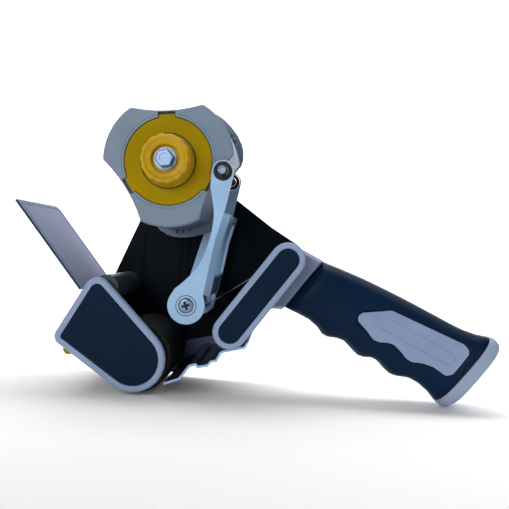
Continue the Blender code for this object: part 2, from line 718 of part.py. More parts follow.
def make_knob(web_near):
    """The knob turns on the bolt and presses the brake spring against the hub's web."""
    rim = HUB_NEAR - KNOB_PROUD
    seat = rim + KNOB_DISH_DEPTH
    end = HUB_NEAR + KNOB_SUNK
    scallop = KNOB_SCALLOP_DEPTH
    loops = [knob_row(KNOB_SEAT_RADIUS, seat, 0),
             knob_row(KNOB_DISH_RADIUS, rim + KNOB_EDGE, 0),
             knob_row(KNOB_RIM_RADIUS - KNOB_EDGE, rim, scallop),
             knob_row(KNOB_RIM_RADIUS, rim + KNOB_EDGE, scallop),
             knob_row((KNOB_RIM_RADIUS + KNOB_BASE_RADIUS) / 2, (rim + end) / 2, scallop),
             knob_row(KNOB_BASE_RADIUS, end - KNOB_SUNK - GAP, 0),
             knob_row(KNOB_BASE_RADIUS, end, 0)]
    knob = loft("tension_knob", loops, YELLOW_PLASTIC)
    pocket = seat + KNOB_FLOOR
    cut(knob, disc("cutter", HUB_AT, KNOB_POCKET_RADIUS, pocket, end + OVERRUN, steps=36))
    bore(knob, HUB_AT, BOLT_RADIUS + GAP, seat, pocket)
    friction_near = web_near - GAP - FRICTION_THICKNESS
    disc("friction_washer", HUB_AT, FRICTION_RADIUS, friction_near, web_near - GAP, FELT,
         bore=BOLT_RADIUS + GAP)
    pressure_far = friction_near - GAP
    pressure_near = pressure_far - PRESSURE_THICKNESS
    disc("pressure_washer", HUB_AT, PRESSURE_RADIUS, pressure_near, pressure_far, BRIGHT_STEEL,
         bore=BOLT_RADIUS + GAP)
    wire_radius = BRAKE_WIRE / 2
    near = pocket + GAP + wire_radius
    far = pressure_near - GAP - wire_radius
    points = coil(HUB_AT, BRAKE_COIL_RADIUS, near, far, BRAKE_CURLS, 0)
    wire("brake_spring", points, wire_radius, DARK_STEEL)
    say_wire_gap("brake_spring", points, wire_radius, 6)
    return seat


def make_hub_bolt(seat):
    """The flanged bolt through the knob, hub and side plate, with its spacer, washer and nut."""
    flange_near = seat - GAP - BOLT_FLANGE_THICKNESS
    head_near = flange_near - BOLT_HEAD_HEIGHT
    washer_near = FRAME_BACK + GAP
    washer_far = washer_near + NUT_WASHER_THICKNESS
    nut_near = washer_far + GAP
    nut_far = nut_near + NUT_HEIGHT
    bolt = turned("hub_bolt", ((0, flange_near), (BOLT_FLANGE_RADIUS, flange_near),
                               (BOLT_FLANGE_RADIUS, seat - GAP), (BOLT_RADIUS, seat - GAP),
                               (BOLT_RADIUS, nut_far + BOLT_END), (0, nut_far + BOLT_END)),
                  HUB_AT, BRIGHT_STEEL, 24, False)
    top = BOLT_HEAD_FLATS - BOLT_HEAD_EDGE - BOLT_HEAD_EDGE
    levels = ((top, head_near), (BOLT_HEAD_FLATS, head_near + BOLT_HEAD_EDGE),
              (BOLT_HEAD_FLATS, flange_near + SINK))
    shapes = [(hexagon(HUB_AT, flats, BOLT_HEAD_TURN), y) for flats, y in levels]
    weld(bolt, loft("tool", [[(x, y, z) for x, z in shape] for shape, y in shapes]))
    floor = head_near + BOLT_HEAD_DIMPLE_DEPTH
    cut(bolt, disc("cutter", HUB_AT, BOLT_HEAD_DIMPLE, head_near - OVERRUN, floor))
    disc("hub_spacer", HUB_AT, SPACER_RADIUS, HUB_FAR + GAP + GAP, FRAME_FACE - GAP, BRIGHT_STEEL,
         bore=BOLT_RADIUS + GAP)
    disc("hub_washer", HUB_AT, NUT_WASHER_RADIUS, washer_near, washer_far, BRIGHT_STEEL,
         bore=BOLT_RADIUS + GAP)
    nut = prism("hub_nut", hexagon(HUB_AT, NUT_FLATS), nut_near, nut_far, BRIGHT_STEEL)
    bore(nut, HUB_AT, BOLT_RADIUS + GAP, nut_near, nut_far)


def panel_shape(inset):
    """The front cover's outline, drawn in by an inset."""
    return belt([(*LEFT_CORNER_AT, LEFT_CORNER_RADIUS - inset), (*ROLLER_AT, BIG_CORNER_RADIUS - inset),
                 (*TOP_CORNER_AT, TOP_CORNER_RADIUS - inset)])


def rear_shape(inset):
    """The rear cover's outline, drawn in by an inset."""
    return belt([(*REAR_LOWER_AT, REAR_RADIUS - inset), (*REAR_UPPER_AT, REAR_RADIUS - inset)])


def make_frame():
    """The stamped side plate, with embossed ribs and holes for all that it carries."""
    outline = belt([(*LEFT_CORNER_AT, LEFT_CORNER_RADIUS), (*ROLLER_AT, BIG_CORNER_RADIUS),
                    (*FRAME_FOOT_AT, 0), (*REAR_LOWER_AT, FRAME_HEAD_RADIUS),
                    (*REAR_UPPER_AT, FRAME_HEAD_RADIUS),
                    (*FRAME_RIGHT_LOW_AT, 0), (*FRAME_RIGHT_HIGH_AT, 0), (*HUB_AT, HUB_END_RADIUS),
                    (*FRAME_LEFT_HIGH_AT, 0), (*FRAME_LEFT_LOW_AT, 0)], 32)
    plate = prism("frame_plate", outline, FRAME_FACE, FRAME_BACK, BLACK_STEEL)
    half = RIB_WIDTH / 2
    levels = ((half - RIB_HEIGHT, FRAME_FACE - RIB_HEIGHT), (half, FRAME_FACE + SINK))
    for x in RIB_PLACES:
        shapes = [(belt([(x, RIB_FOOT, radius), (x, RIB_TOP, radius)], 8), y) for radius, y in levels]
        weld(plate, loft("tool", [[(rib_x, y, rib_z) for rib_x, rib_z in shape] for shape, y in shapes]))
    bore(plate, HUB_AT, BOLT_RADIUS + GAP, FRAME_FACE, FRAME_BACK)
    bore(plate, PIVOT_AT, AXLE_RADIUS + GAP, FRAME_FACE, FRAME_BACK)
    bore(plate, ROLLER_AT, AXLE_RADIUS + GAP, FRAME_FACE, FRAME_BACK)
    bore(plate, TUBE_AT, TIE_RADIUS + GAP, FRAME_FACE, FRAME_BACK, 24)
    for at in (REAR_UPPER_AT, REAR_LOWER_AT):
        bore(plate, at, FRAME_SCREW_RADIUS + GAP, FRAME_FACE, FRAME_BACK, 16)


def make_front_cover():
    """The grey cover has a recess for its insert, and pockets for what ends on the plate behind it."""
    cover = slab("front_side_panel", panel_shape, PANEL_NEAR, PANEL_FAR, PANEL_EDGE, GREY_PLASTIC)
    floor = PANEL_NEAR + INSET_SUNK + INSET_THICKNESS + GAP
    cut(cover, prism("cutter", panel_shape(PANEL_RIM), PANEL_NEAR - OVERRUN, floor))
    tail = INNER_BACK - GAP - TIE_TAIL_HEIGHT
    ring = INNER_BACK - GAP - RING_THICKNESS
    for at, radius, end in ((TUBE_AT, TIE_TAIL_RADIUS, tail), (ROLLER_AT, RING_RADIUS, ring)):
        cut(cover, disc("cutter", at, radius + GAP, end - GAP, PANEL_FAR + OVERRUN))
    near = PANEL_NEAR + INSET_SUNK
    prism("front_panel_inset", panel_shape(PANEL_RIM + GAP), near, near + INSET_THICKNESS, NAVY_PLASTIC)
    plate = prism("front_inner_plate", panel_shape(INNER_INSET), INNER_BACK, INNER_FACE, BLACK_STEEL)
    bore(plate, ROLLER_AT, AXLE_RADIUS + GAP, INNER_BACK, INNER_FACE)
    bore(plate, TUBE_AT, TIE_RADIUS + GAP, INNER_BACK, INNER_FACE, 24)


def make_cross_tube():
    """The cross tube between the plates, on a riveted rod."""
    disc("upper_spacer_tube", TUBE_AT, TUBE_RADIUS, INNER_FACE + GAP, FRAME_FACE - GAP, BLACK_STEEL,
         bore=TIE_RADIUS + GAP)
    tail = INNER_BACK - GAP
    head = FRAME_BACK + GAP
    turned("upper_tie_rod", ((0, tail - TIE_TAIL_HEIGHT), (TIE_TAIL_RADIUS, tail - TIE_TAIL_HEIGHT),
                             (TIE_TAIL_RADIUS, tail), (TIE_RADIUS, tail), (TIE_RADIUS, head),
                             (TIE_HEAD_RADIUS, head), (TIE_HEAD_RADIUS, head + TIE_HEAD_HEIGHT / 2),
                             (TIE_RADIUS, head + TIE_HEAD_HEIGHT), (0, head + TIE_HEAD_HEIGHT)),
           TUBE_AT, DARK_STEEL, 24, False)


def make_wiper():
    """The flap, the strip that clamps it to the bracket, and the strip's screws."""
    end = FLAP_END_AT
    plan = ((0, SHANK_NEAR), (SHANK_NEAR_LENGTH, SHANK_NEAR), (SHANK_NEAR_LENGTH, FLAP_NEAR),
            (FLAP_LENGTH, FLAP_NEAR), (FLAP_LENGTH, FLAP_FAR - FLAP_CHAMFER),
            (FLAP_LENGTH - FLAP_CHAMFER, FLAP_FAR), (SHANK_FAR_LENGTH, FLAP_FAR),
            (SHANK_FAR_LENGTH, SHANK_FAR), (0, SHANK_FAR))
    loops = []
    for side in (-FLAP_SHEET / 2, FLAP_SHEET / 2):
        spots = [(moved(end, FLAP_ALONG, -up, FLAP_ASIDE, side), y) for up, y in plan]
        loops.append([(x, y, z) for (x, z), y in spots])
    flap = loft("wiper_flap", loops, PALE_FLAP)
    seat = moved(end, FLAP_ALONG, -SEAT_FROM_END)
    lift = FLAP_SHEET / 2 + GAP
    clamp_start = moved(seat, FLAP_ALONG, -CLAMP_LENGTH, FLAP_ASIDE, -lift - CLAMP_SHEET / 2)
    clamp_end = moved(seat, FLAP_ASIDE, -lift - CLAMP_SHEET / 2)
    clamp_near, clamp_far = SHANK_NEAR + CLAMP_INSET, SHANK_FAR - CLAMP_INSET
    clamp = prism("wiper_clamp", strip([clamp_start, clamp_end], CLAMP_SHEET), clamp_near, clamp_far, ZINC)
    spot = moved(seat, FLAP_ALONG, -CLAMP_LENGTH / 2)
    top = -lift - CLAMP_SHEET - GAP
    low = lift + BRACKET_SHEET + WIPER_SCREW_END
    profile = ((0, top - WIPER_SCREW_HEAD_HEIGHT), (WIPER_SCREW_HEAD, top - WIPER_SCREW_HEAD_HEIGHT),
               (WIPER_SCREW_HEAD, top), (WIPER_SCREW_RADIUS, top), (WIPER_SCREW_RADIUS, low), (0, low))
    for name, y in (("near", SHANK_NEAR + WIPER_SCREW_INSET), ("far", SHANK_FAR - WIPER_SCREW_INSET)):
        aslant(turned(f"wiper_screw_{name}", profile, HUB_AT, BRIGHT_STEEL, 16, False), spot, y)
        for sheet in (flap, clamp):
            hole = disc("cutter", HUB_AT, WIPER_SCREW_RADIUS + GAP, top - OVERRUN, low + OVERRUN, steps=16)
            cut(sheet, aslant(hole, spot, y))
    return spot, top, low


def aslant(piece, at, y):
    """Lays a piece turned about Y at a place, so that its +Y points square through the flap."""
    way = Vector((FLAP_ASIDE[0], 0, FLAP_ASIDE[1]))
    turn = Vector((0, 1, 0)).rotation_difference(way)
    piece.data.transform(turn.to_matrix().to_4x4())
    piece.location = (at[0], y, at[1])
    return piece


def make_blade(spot, top, low):
    """The bent bracket carries the flap above and the toothed blade below."""
    end = moved(FLAP_END_AT, FLAP_ALONG, -SEAT_FROM_END)
    drop = FLAP_SHEET / 2 + GAP + BRACKET_SHEET / 2
    seat_end = moved(end, FLAP_ASIDE, drop)
    seat_start = moved(end, FLAP_ALONG, -SEAT_LENGTH, FLAP_ASIDE, drop)
    tip = moved(BRACKET_BEND_AT, BLADE_ALONG, BRACKET_SEAT)
    outline = strip([seat_start, seat_end, BRACKET_BEND_AT, tip], BRACKET_SHEET)
    bracket = prism("blade_bracket", outline, INNER_FACE + GAP, FRAME_FACE - GAP, BLACK_STEEL)
    back = moved(BRACKET_BEND_AT, BLADE_ALONG, -BRACKET_SHEET, BLADE_ASIDE, -GUARD_PIN_ASIDE)
    front = moved(BRACKET_BEND_AT, BLADE_ALONG, BLADE_WIDTH, BLADE_ASIDE, -GUARD_PIN_ASIDE)
    window = [back, front, moved(front, BLADE_ASIDE, BLADE_WIDTH), moved(back, BLADE_ASIDE, BLADE_WIDTH)]
    blade_near = GUARD_NEAR + GUARD_CHEEK + BLADE_SIDE_PLAY
    blade_far = GUARD_FAR - GUARD_CHEEK - BLADE_SIDE_PLAY
    cut(bracket, prism("cutter", window, INNER_FACE - OVERRUN, blade_near),
        prism("cutter", window, blade_far, FRAME_FACE + OVERRUN))
    for y in (SHANK_NEAR + WIPER_SCREW_INSET, SHANK_FAR - WIPER_SCREW_INSET):
        hole = disc("cutter", HUB_AT, WIPER_SCREW_RADIUS + GAP, top - OVERRUN, low + OVERRUN, steps=16)
        cut(bracket, aslant(hole, spot, y))
    under = BRACKET_SHEET / 2 + GAP
    count = round((blade_far - blade_near) / TOOTH_PITCH)
    pitch = (blade_far - blade_near) / count
    edge = [(0, blade_near), (0, blade_far)]
    for i in range(count, 0, -1):
        edge.append((BLADE_WIDTH - TOOTH_DEPTH, blade_near + pitch * i))
        edge.append((BLADE_WIDTH, blade_near + pitch * (i - 0.5)))
    edge.append((BLADE_WIDTH - TOOTH_DEPTH, blade_near))
    loops = []
    for side in (under, under + BLADE_SHEET):
        foot = moved(BRACKET_BEND_AT, BLADE_ALONG, BLADE_FROM_BEND, BLADE_ASIDE, side)
        spots = [(moved(foot, BLADE_ALONG, a), y) for a, y in edge]
        loops.append([(x, y, z) for (x, z), y in spots])
    loft("blade", loops, BRIGHT_STEEL)


def make_guard():
    """The sprung guard covers the teeth, and its two cheeks turn on a long pin."""
    pin_at = moved(BRACKET_BEND_AT, BLADE_ALONG, GUARD_PIN_ALONG, BLADE_ASIDE, -GUARD_PIN_ASIDE)
    reach = BLADE_FROM_BEND + BLADE_WIDTH + GUARD_LIP
    under = BRACKET_SHEET / 2 + GAP + BLADE_SHEET + GUARD_STANDOFF
    corners = [(reach, under), (reach, under + GUARD_BAR), (reach - GUARD_BAR_LENGTH, under + GUARD_BAR),
               (reach - GUARD_BAR_LENGTH, under)]
    bar = rounded([moved(BRACKET_BEND_AT, BLADE_ALONG, a, BLADE_ASIDE, b) for a, b in corners], GUARD_BAR / 3)
    guard = prism("blade_guard", bar, GUARD_NEAR + GUARD_CHEEK / 2, GUARD_FAR - GUARD_CHEEK / 2,
                  YELLOW_PLASTIC, pin_at)
    heel = moved(BRACKET_BEND_AT, BLADE_ALONG, reach - GUARD_BAR_LENGTH / 2,
                 BLADE_ASIDE, under + GUARD_BAR / 2)
    cheek = belt([(*pin_at, GUARD_BOSS_RADIUS), (*heel, GUARD_BAR_LENGTH / 2 + GAP)], 20)
    weld(guard, prism("tool", cheek, GUARD_NEAR, GUARD_NEAR + GUARD_CHEEK),
         prism("tool", cheek, GUARD_FAR - GUARD_CHEEK, GUARD_FAR))
    bore(guard, pin_at, GUARD_BORE_RADIUS, GUARD_NEAR, GUARD_FAR, 20)
    disc("guard_pin", pin_at, GUARD_PIN_RADIUS, INNER_FACE + GAP, FRAME_FACE - GAP, BRIGHT_STEEL, 20)
    wire_radius = GUARD_WIRE / 2
    far = GUARD_FAR - GUARD_CHEEK - GAP - wire_radius
    near = far - GUARD_CURLS * (GUARD_WIRE + GUARD_WIRE)
    turns = coil(pin_at, GUARD_COIL_RADIUS, near, far, GUARD_CURLS, BLADE_SLOPE - 90, 8)
    legs = []
    for x, y, z in (turns[0], turns[-1]):
        end_x, end_z = moved((x, z), BLADE_ALONG, GUARD_LEG)
        legs.append((end_x, y, end_z))
    points = [legs[0]] + turns + [legs[1]]
    wire("guard_spring", points, wire_radius, DARK_STEEL, pin_at)
    say_wire_gap("guard_spring", turns, wire_radius, 5)


def make_roller():
    """The rubber roller on its spoked core, and the axle between the plates."""
    core_radius = ROLLER_RADIUS - RUBBER_THICKNESS
    edge = ROLLER_EDGE
    turned("roller_rubber", ((core_radius, ROLLER_NEAR), (ROLLER_RADIUS - edge, ROLLER_NEAR),
                             (ROLLER_RADIUS, ROLLER_NEAR + edge), (ROLLER_RADIUS, ROLLER_FAR - edge),
                             (ROLLER_RADIUS - edge, ROLLER_FAR), (core_radius, ROLLER_FAR)),
           ROLLER_AT, BLACK_RUBBER, 48)
    washer_near = INNER_FACE + GAP
    boss_near = washer_near + AXLE_WASHER_THICKNESS + GAP
    washer_far = FRAME_FACE - GAP
    boss_far = washer_far - AXLE_WASHER_THICKNESS - GAP
    tube_outer = core_radius - GAP
    core = disc("roller_core", ROLLER_AT, tube_outer, ROLLER_NEAR, ROLLER_FAR, GREY_PLASTIC, 36,
                tube_outer - CORE_TUBE_WALL)
    weld(core, disc("tool", ROLLER_AT, ROLLER_BOSS_RADIUS, boss_near, boss_far))
    for k in range(ROLLER_SPOKES // 2):
        t = math.pi * k / (ROLLER_SPOKES // 2)
        along, aside = (math.cos(t), math.sin(t)), (-math.sin(t), math.cos(t))
        length, half = tube_outer - CORE_TUBE_WALL + SINK, SPOKE_THICKNESS / 2
        corners = ((-length, -half), (length, -half), (length, half), (-length, half))
        weld(core, prism("tool", [moved(ROLLER_AT, along, a, aside, b) for a, b in corners],
                         ROLLER_NEAR + SINK, ROLLER_FAR - SINK))
    bore(core, ROLLER_AT, AXLE_RADIUS + GAP, boss_near, boss_far)
    for name, y in (("near", washer_near), ("far", washer_far - AXLE_WASHER_THICKNESS)):
        disc(f"roller_washer_{name}", ROLLER_AT, AXLE_WASHER_RADIUS, y, y + AXLE_WASHER_THICKNESS,
             BRIGHT_STEEL, 24, AXLE_RADIUS + GAP)
    ring_far = INNER_BACK - GAP
    ring_near = ring_far - RING_THICKNESS
    nut_near = FRAME_BACK + GAP
    nut_far = nut_near + AXLE_NUT_HEIGHT
    groove = AXLE_RADIUS - STUD_GROOVE
    turned("roller_axle", ((0, ring_near), (groove, ring_near), (groove, ring_far + GAP / 2),
                           (AXLE_RADIUS, ring_far + GAP / 2), (AXLE_RADIUS, nut_far + AXLE_END),
                           (0, nut_far + AXLE_END)), ROLLER_AT, BRIGHT_STEEL, 24, False)
    disc("axle_ring", ROLLER_AT, RING_RADIUS, ring_near, ring_far, DARK_STEEL, 24, groove + GAP)
    nut = prism("axle_nut", hexagon(ROLLER_AT, AXLE_NUT_FLATS), nut_near, nut_far, BRIGHT_STEEL)
    bore(nut, ROLLER_AT, AXLE_RADIUS + GAP, nut_near, nut_far, 24)


def arm_frame():
    """The arm's length and its directions, along it and to its left."""
    span = math.hypot(EAR_AT[0] - PIVOT_AT[0], EAR_AT[1] - PIVOT_AT[1])
    along = ((EAR_AT[0] - PIVOT_AT[0]) / span, (EAR_AT[1] - PIVOT_AT[1]) / span)
    return span, along, (-along[1], along[0])


def arm_points(shares):
    """Places on the arm from shares of its length."""
    span, along, left = arm_frame()
    return [moved(PIVOT_AT, along, a * span, left, b * span) for a, b in shares]


def make_arm():
    """Two plates joined by a web with a long window: one bent sheet."""
    span, along, left = arm_frame()
    right = (-left[0], -left[1])
    bends = arm_points(ARM_BEND_SHARES)
    left_curve = smooth(arm_points(ARM_LEFT_SHARES)[::-1], 3)
    near_outline = belt([(*PIVOT_AT, PIVOT_EYE_RADIUS), *((*p, 0) for p in bends),
                         *((*p, 0) for p in arm_points(ARM_NECK_SHARES)), (*EAR_AT, EAR_RADIUS),
                         *((*p, 0) for p in left_curve)], 36)
    arm = prism("arm_bracket", near_outline, ARM_NEAR, ARM_NEAR + ARM_SHEET, ZINC, PIVOT_AT)
    far_outline = belt([(*PIVOT_AT, PIVOT_EYE_RADIUS), *((*p, 0) for p in bends),
                        *((*p, 0) for p in arm_points(ARM_NECK_SHARES)), (*EAR_AT, EAR_RADIUS)], 36)
    weld(arm, prism("tool", far_outline, ARM_FAR - ARM_SHEET, ARM_FAR))
    skin = SINK / 4
    near, far = ARM_NEAR + skin, ARM_FAR - skin
    wall = ARM_SHEET - skin - skin
    section = ((-ARM_SHEET, near), (0, near), (WEB_SET, near + WEB_SET), (WEB_SET, far - WEB_SET), (0, far),
               (-ARM_SHEET, far), (-ARM_SHEET, far - wall), (-wall / 2, far - wall),
               (WEB_SET - wall, far - WEB_SET - wall / 2), (WEB_SET - wall, near + WEB_SET + wall / 2),
               (-wall / 2, near + wall), (-ARM_SHEET, near + wall))
    loops = [[(*moved(spot, right, q), y) for q, y in section] for spot in bends]
    weld(arm, loft("tool", [[(x, y, z) for x, z, y in loop] for loop in loops]))
    low, high = (share * span for share in WINDOW_SHARES)
    w_near, w_far = ARM_NEAR + WEB_SET + WINDOW_MARGIN / 2, ARM_FAR - WEB_SET - WINDOW_MARGIN
    window = rounded([(low, w_near), (high, w_near), (high, w_far), (low, w_far)], WINDOW_CORNER, 4)
    middle = ARM_BEND_SHARES[2][1] * span
    reach = WEB_SET + ARM_SHEET
    sides = ((middle - reach - ARM_SHEET), (middle + ARM_SHEET - GAP))
    loops = [[(*moved(PIVOT_AT, along, a, left, b), y) for a, y in window] for b in sides]
    cut(arm, loft("cutter", [[(x, y, z) for x, z, y in loop] for loop in loops]))
    for at, radius in ((PIVOT_AT, PIVOT_HOLE_RADIUS), (EAR_AT, EAR_HOLE_RADIUS)):
        bore(arm, at, radius, ARM_NEAR, ARM_FAR)


def make_arm_ends():
    """Bushes and studs in the arm's ears, and bushes on its pivot shaft."""
    outer = EAR_HOLE_RADIUS - GAP
    inner = outer - EAR_BUSH_WALL
    stud = inner - GAP
    hole = SHAFT_RADIUS + GAP
    shank = PIVOT_HOLE_RADIUS - GAP
    for name, face, way in (("near", ARM_NEAR, 1), ("far", ARM_FAR, -1)):
        inside = face + way * (ARM_SHEET + EAR_BUSH_PROUD)
        low, high = sorted((inside, face - way * EAR_BUSH_PROUD))
        disc(f"ear_bush_{name}", EAR_AT, outer, low, high, BLACK_PLASTIC, 24, inner)
        flange_near = face + way * (ARM_SHEET + GAP)
        flange_far = flange_near + way * PIVOT_FLANGE_THICKNESS
        turned(f"pivot_bush_{name}", ((hole, face), (shank, face), (shank, flange_near),
                                      (PIVOT_FLANGE_RADIUS, flange_near), (PIVOT_FLANGE_RADIUS, flange_far),
                                      (hole, flange_far)), PIVOT_AT, ZINC)
    inside = ARM_NEAR + ARM_SHEET + EAR_BUSH_PROUD
    end = ARM_NEAR - STUD_PROUD
    groove_near, groove_far = end + STUD_TIP, end + STUD_TIP + STUD_GROOVE_WIDTH
    waist = stud - STUD_GROOVE
    profile = ((0, inside), (stud, inside), (stud, groove_far), (waist, groove_far), (waist, groove_near),
               (stud, groove_near), (stud, end + STUD_GROOVE), (waist, end), (STUD_TIP_RADIUS, end),
               (STUD_TIP_RADIUS, end + STUD_GROOVE), (0, end + STUD_GROOVE))
    turned("ear_stud_near", profile, EAR_AT, BRIGHT_STEEL, 24, False)
    disc("ear_stud_far", EAR_AT, stud, ARM_FAR - ARM_SHEET - EAR_BUSH_PROUD,
         ARM_FAR + EAR_BUSH_PROUD + EAR_BUSH_PROUD, BRIGHT_STEEL)


def make_pivot():
    """The shaft that the arm swings on, and the cross-slotted screw in its near end."""
    near = ARM_NEAR + SHAFT_SUNK
    turned("pivot_shaft", ((0, near), (SHAFT_RADIUS, near), (SHAFT_RADIUS, FRAME_FACE - GAP),
                           (AXLE_RADIUS, FRAME_FACE - GAP), (AXLE_RADIUS, FRAME_BACK + TIE_HEAD_HEIGHT),
                           (0, FRAME_BACK + TIE_HEAD_HEIGHT)), PIVOT_AT, DARK_STEEL, 24, False)
    far = near - GAP
    face = ARM_NEAR - PIVOT_SCREW_PROUD
    screw = turned("pivot_screw", ((0, face), (PIVOT_SCREW_CROWN, face),
                                   (PIVOT_SCREW_RADIUS, face + PIVOT_SCREW_PROUD),
                                   (PIVOT_SCREW_RADIUS, far), (0, far)), PIVOT_AT, BRIGHT_STEEL, 24, False)
    half, long = CROSS_WIDTH / 2, CROSS_LENGTH / 2
    for turn in CROSS_TURNS:
        t = math.radians(turn)
        way, aside = (math.cos(t), math.sin(t)), (-math.sin(t), math.cos(t))
        corners = ((-long, -half), (long, -half), (long, half), (-long, half))
        cut(screw, prism("cutter", [moved(PIVOT_AT, way, a, aside, b) for a, b in corners],
                         face - OVERRUN, face + CROSS_DEPTH))


def make_arm_spring():
    """A torsion spring round the shaft: one leg on the head block, one behind the arm's web."""
    wire_radius = ARM_WIRE / 2
    clear = GAP + wire_radius
    axis = Vector((REAR_UPPER_AT[0] - REAR_LOWER_AT[0], REAR_UPPER_AT[1] - REAR_LOWER_AT[1])).normalized()
    side = Vector((-axis.y, axis.x))
    wall = Vector(REAR_LOWER_AT) + side * (REAR_RADIUS - BLOCK_STEP + clear)
    along_wall = (Vector(REAR_UPPER_AT) - Vector(REAR_LOWER_AT)).length
    bearing = wall + axis * (along_wall * LEG_BEARING_SHARE)
    hook = bearing + axis * LEG_HOOK
    start_way = Vector(bearing) - Vector(PIVOT_AT)
    lean = math.acos(ARM_COIL_RADIUS / start_way.length)
    start = math.degrees(math.atan2(start_way.y, start_way.x) - lean)
    span, along, left = arm_frame()
    bends = arm_points(ARM_BEND_SHARES)
    outside = WEB_SET + clear + clear
    elbow = moved(PIVOT_AT, left, ARM_BEND_SHARES[0][1] * span - outside)
    tip = moved(bends[1], left, -outside)
    end_way = Vector(elbow) - Vector(PIVOT_AT)
    end = math.degrees(math.atan2(end_way.y, end_way.x) + math.acos(ARM_COIL_RADIUS / end_way.length))
    curls = ARM_CURLS + ((start - end) % 360) / 360
    far = ARM_COIL_NEAR + curls * ARM_CURL_PITCH
    turns = coil(PIVOT_AT, ARM_COIL_RADIUS, far, ARM_COIL_NEAR, -curls, start)
    legs_start = [(hook.x, far, hook.y), (bearing.x, far, bearing.y)]
    legs_end = [(elbow[0], ARM_COIL_NEAR, elbow[1]), (tip[0], ARM_COIL_NEAR, tip[1])]
    points = legs_start + turns + legs_end
    wire("arm_spring", points, wire_radius, BRIGHT_STEEL, PIVOT_AT)
    say_wire_gap("arm_spring", turns, wire_radius, 6)


def make_head():
    """The head block between the rear cover and the side plate, and the cover's insert."""
    route = [*GUIDE_AT, (Vector(GUIDE_AT[-1]) * 2 - Vector(GUIDE_AT[-2]))[:]]
    guide_top = strip(route, GUIDE_SHEET + GAP + GAP)[:len(route)]
    floor = GUIDE_AT[0][1] - REAR_RADIUS
    notch = guide_top + [(guide_top[-1][0] + GUIDE_SHEET + GUIDE_SHEET, floor), (GUIDE_AT[0][0], floor)]
    block = prism("head_block", rear_shape(BLOCK_STEP), PANEL_FAR + GAP, FRAME_FACE - GAP, BLACK_PLASTIC)
    cut(block, prism("cutter", notch, GUIDE_NEAR, FRAME_FACE + OVERRUN))
    for at in (REAR_UPPER_AT, REAR_LOWER_AT):
        bore(block, at, FRAME_SCREW_RADIUS + GAP, FRAME_FACE - FRAME_SCREW_BITE, FRAME_FACE, 16)
    pocket = TANG_THICKNESS / 2 + GAP
    cut(block, prism("cutter", tang_outline(GAP), -pocket, pocket))
    cover = slab("rear_side_cover", rear_shape, PANEL_NEAR, PANEL_FAR, PANEL_EDGE, GREY_PLASTIC)
    floor = PANEL_NEAR + INSET_SUNK + INSET_THICKNESS + GAP
    cut(cover, prism("cutter", rear_shape(REAR_RIM), PANEL_NEAR - OVERRUN, floor))
    cut(cover, prism("cutter", notch, GUIDE_NEAR - GAP, PANEL_FAR + OVERRUN))
    near = PANEL_NEAR + INSET_SUNK
    prism("rear_side_inset", rear_shape(REAR_RIM + GAP), near, near + INSET_THICKNESS, NAVY_PLASTIC)


def make_guide():
    """The stepped plate from the roller to the head, with its far edge bent up and doubled at its foot."""
    far = FRAME_FACE - GAP
    plate = prism("lower_guide_plate", strip(GUIDE_AT, GUIDE_SHEET), GUIDE_NEAR, far, ZINC)
    foot = GUIDE_AT[:GUIDE_FLANGE_BENDS]
    flange = [*foot, *((x, z + GUIDE_FLANGE) for x, z in foot[::-1])]
    weld(plate, prism("tool", [*foot, *GUIDE_BACK_AT], far - GUIDE_SHEET, far))
    weld(plate, prism("tool", flange, far - GUIDE_SHEET - GUIDE_SHEET, far - GUIDE_SHEET + SINK))


def grip_place(along, drop):
    """A point of the grip from shares of its length and height."""
    return moved(GRIP_AT, GRIP_ALONG, along * GRIP_LENGTH, GRIP_DROP, drop * GRIP_HEIGHT)


def read_curve(table, share):
    """The height that a table of shares gives at a share, by straight lines."""
    for (a, low), (b, high) in zip(table, table[1:]):
        if share <= b:
            return low + (high - low) * (share - a) / (b - a)
    return table[-1][1]


def grip_section(along, top, low, half_thickness, split, steps=10):
    """Half of a rounded section, from its top round the side at +Y or -Y to its foot."""
    points = []
    middle, half = (top + low) / 2, (low - top) / 2
    way = math.copysign(1, half_thickness)
    for i in range(steps + 1):
        t = math.pi * i / steps - math.pi / 2
        rise = math.copysign(abs(math.sin(t)) ** (2 / GRIP_POWER), math.sin(t)) if i != steps / 2 else 0
        out = max(math.cos(t), 0) ** (2 / GRIP_POWER) if 0 < i < steps else 0
        x, z = grip_place(along, middle + half * rise)
        y = way * split + (half_thickness - way * split) * out
        points.append((x, y, z))
    return points


def grip_loops(side, swell, split):
    """The sections along one half of the grip, on the side of the sign."""
    tops = smooth(GRIP_TOP_SHARES, 4)
    loops = []
    for along, low in GRIP_LOW_SHARES:
        top = read_curve(tops, along)
        spread = swell / GRIP_HEIGHT
        half = side * (GRIP_THICKNESS / 2 + swell)
        loops.append(grip_section(along, top - spread, low + spread, half, split))
    return loops


def tang_outline(extra):
    """The outline of the tongue that runs from the neck into the grip."""
    start = grip_place((TANG_START - extra) / GRIP_LENGTH, TANG_DROP_SHARES[0])
    end = grip_place(TANG_END_SHARE + extra / GRIP_LENGTH, TANG_DROP_SHARES[1])
    return strip([start, end], TANG_HEIGHT + extra + extra)


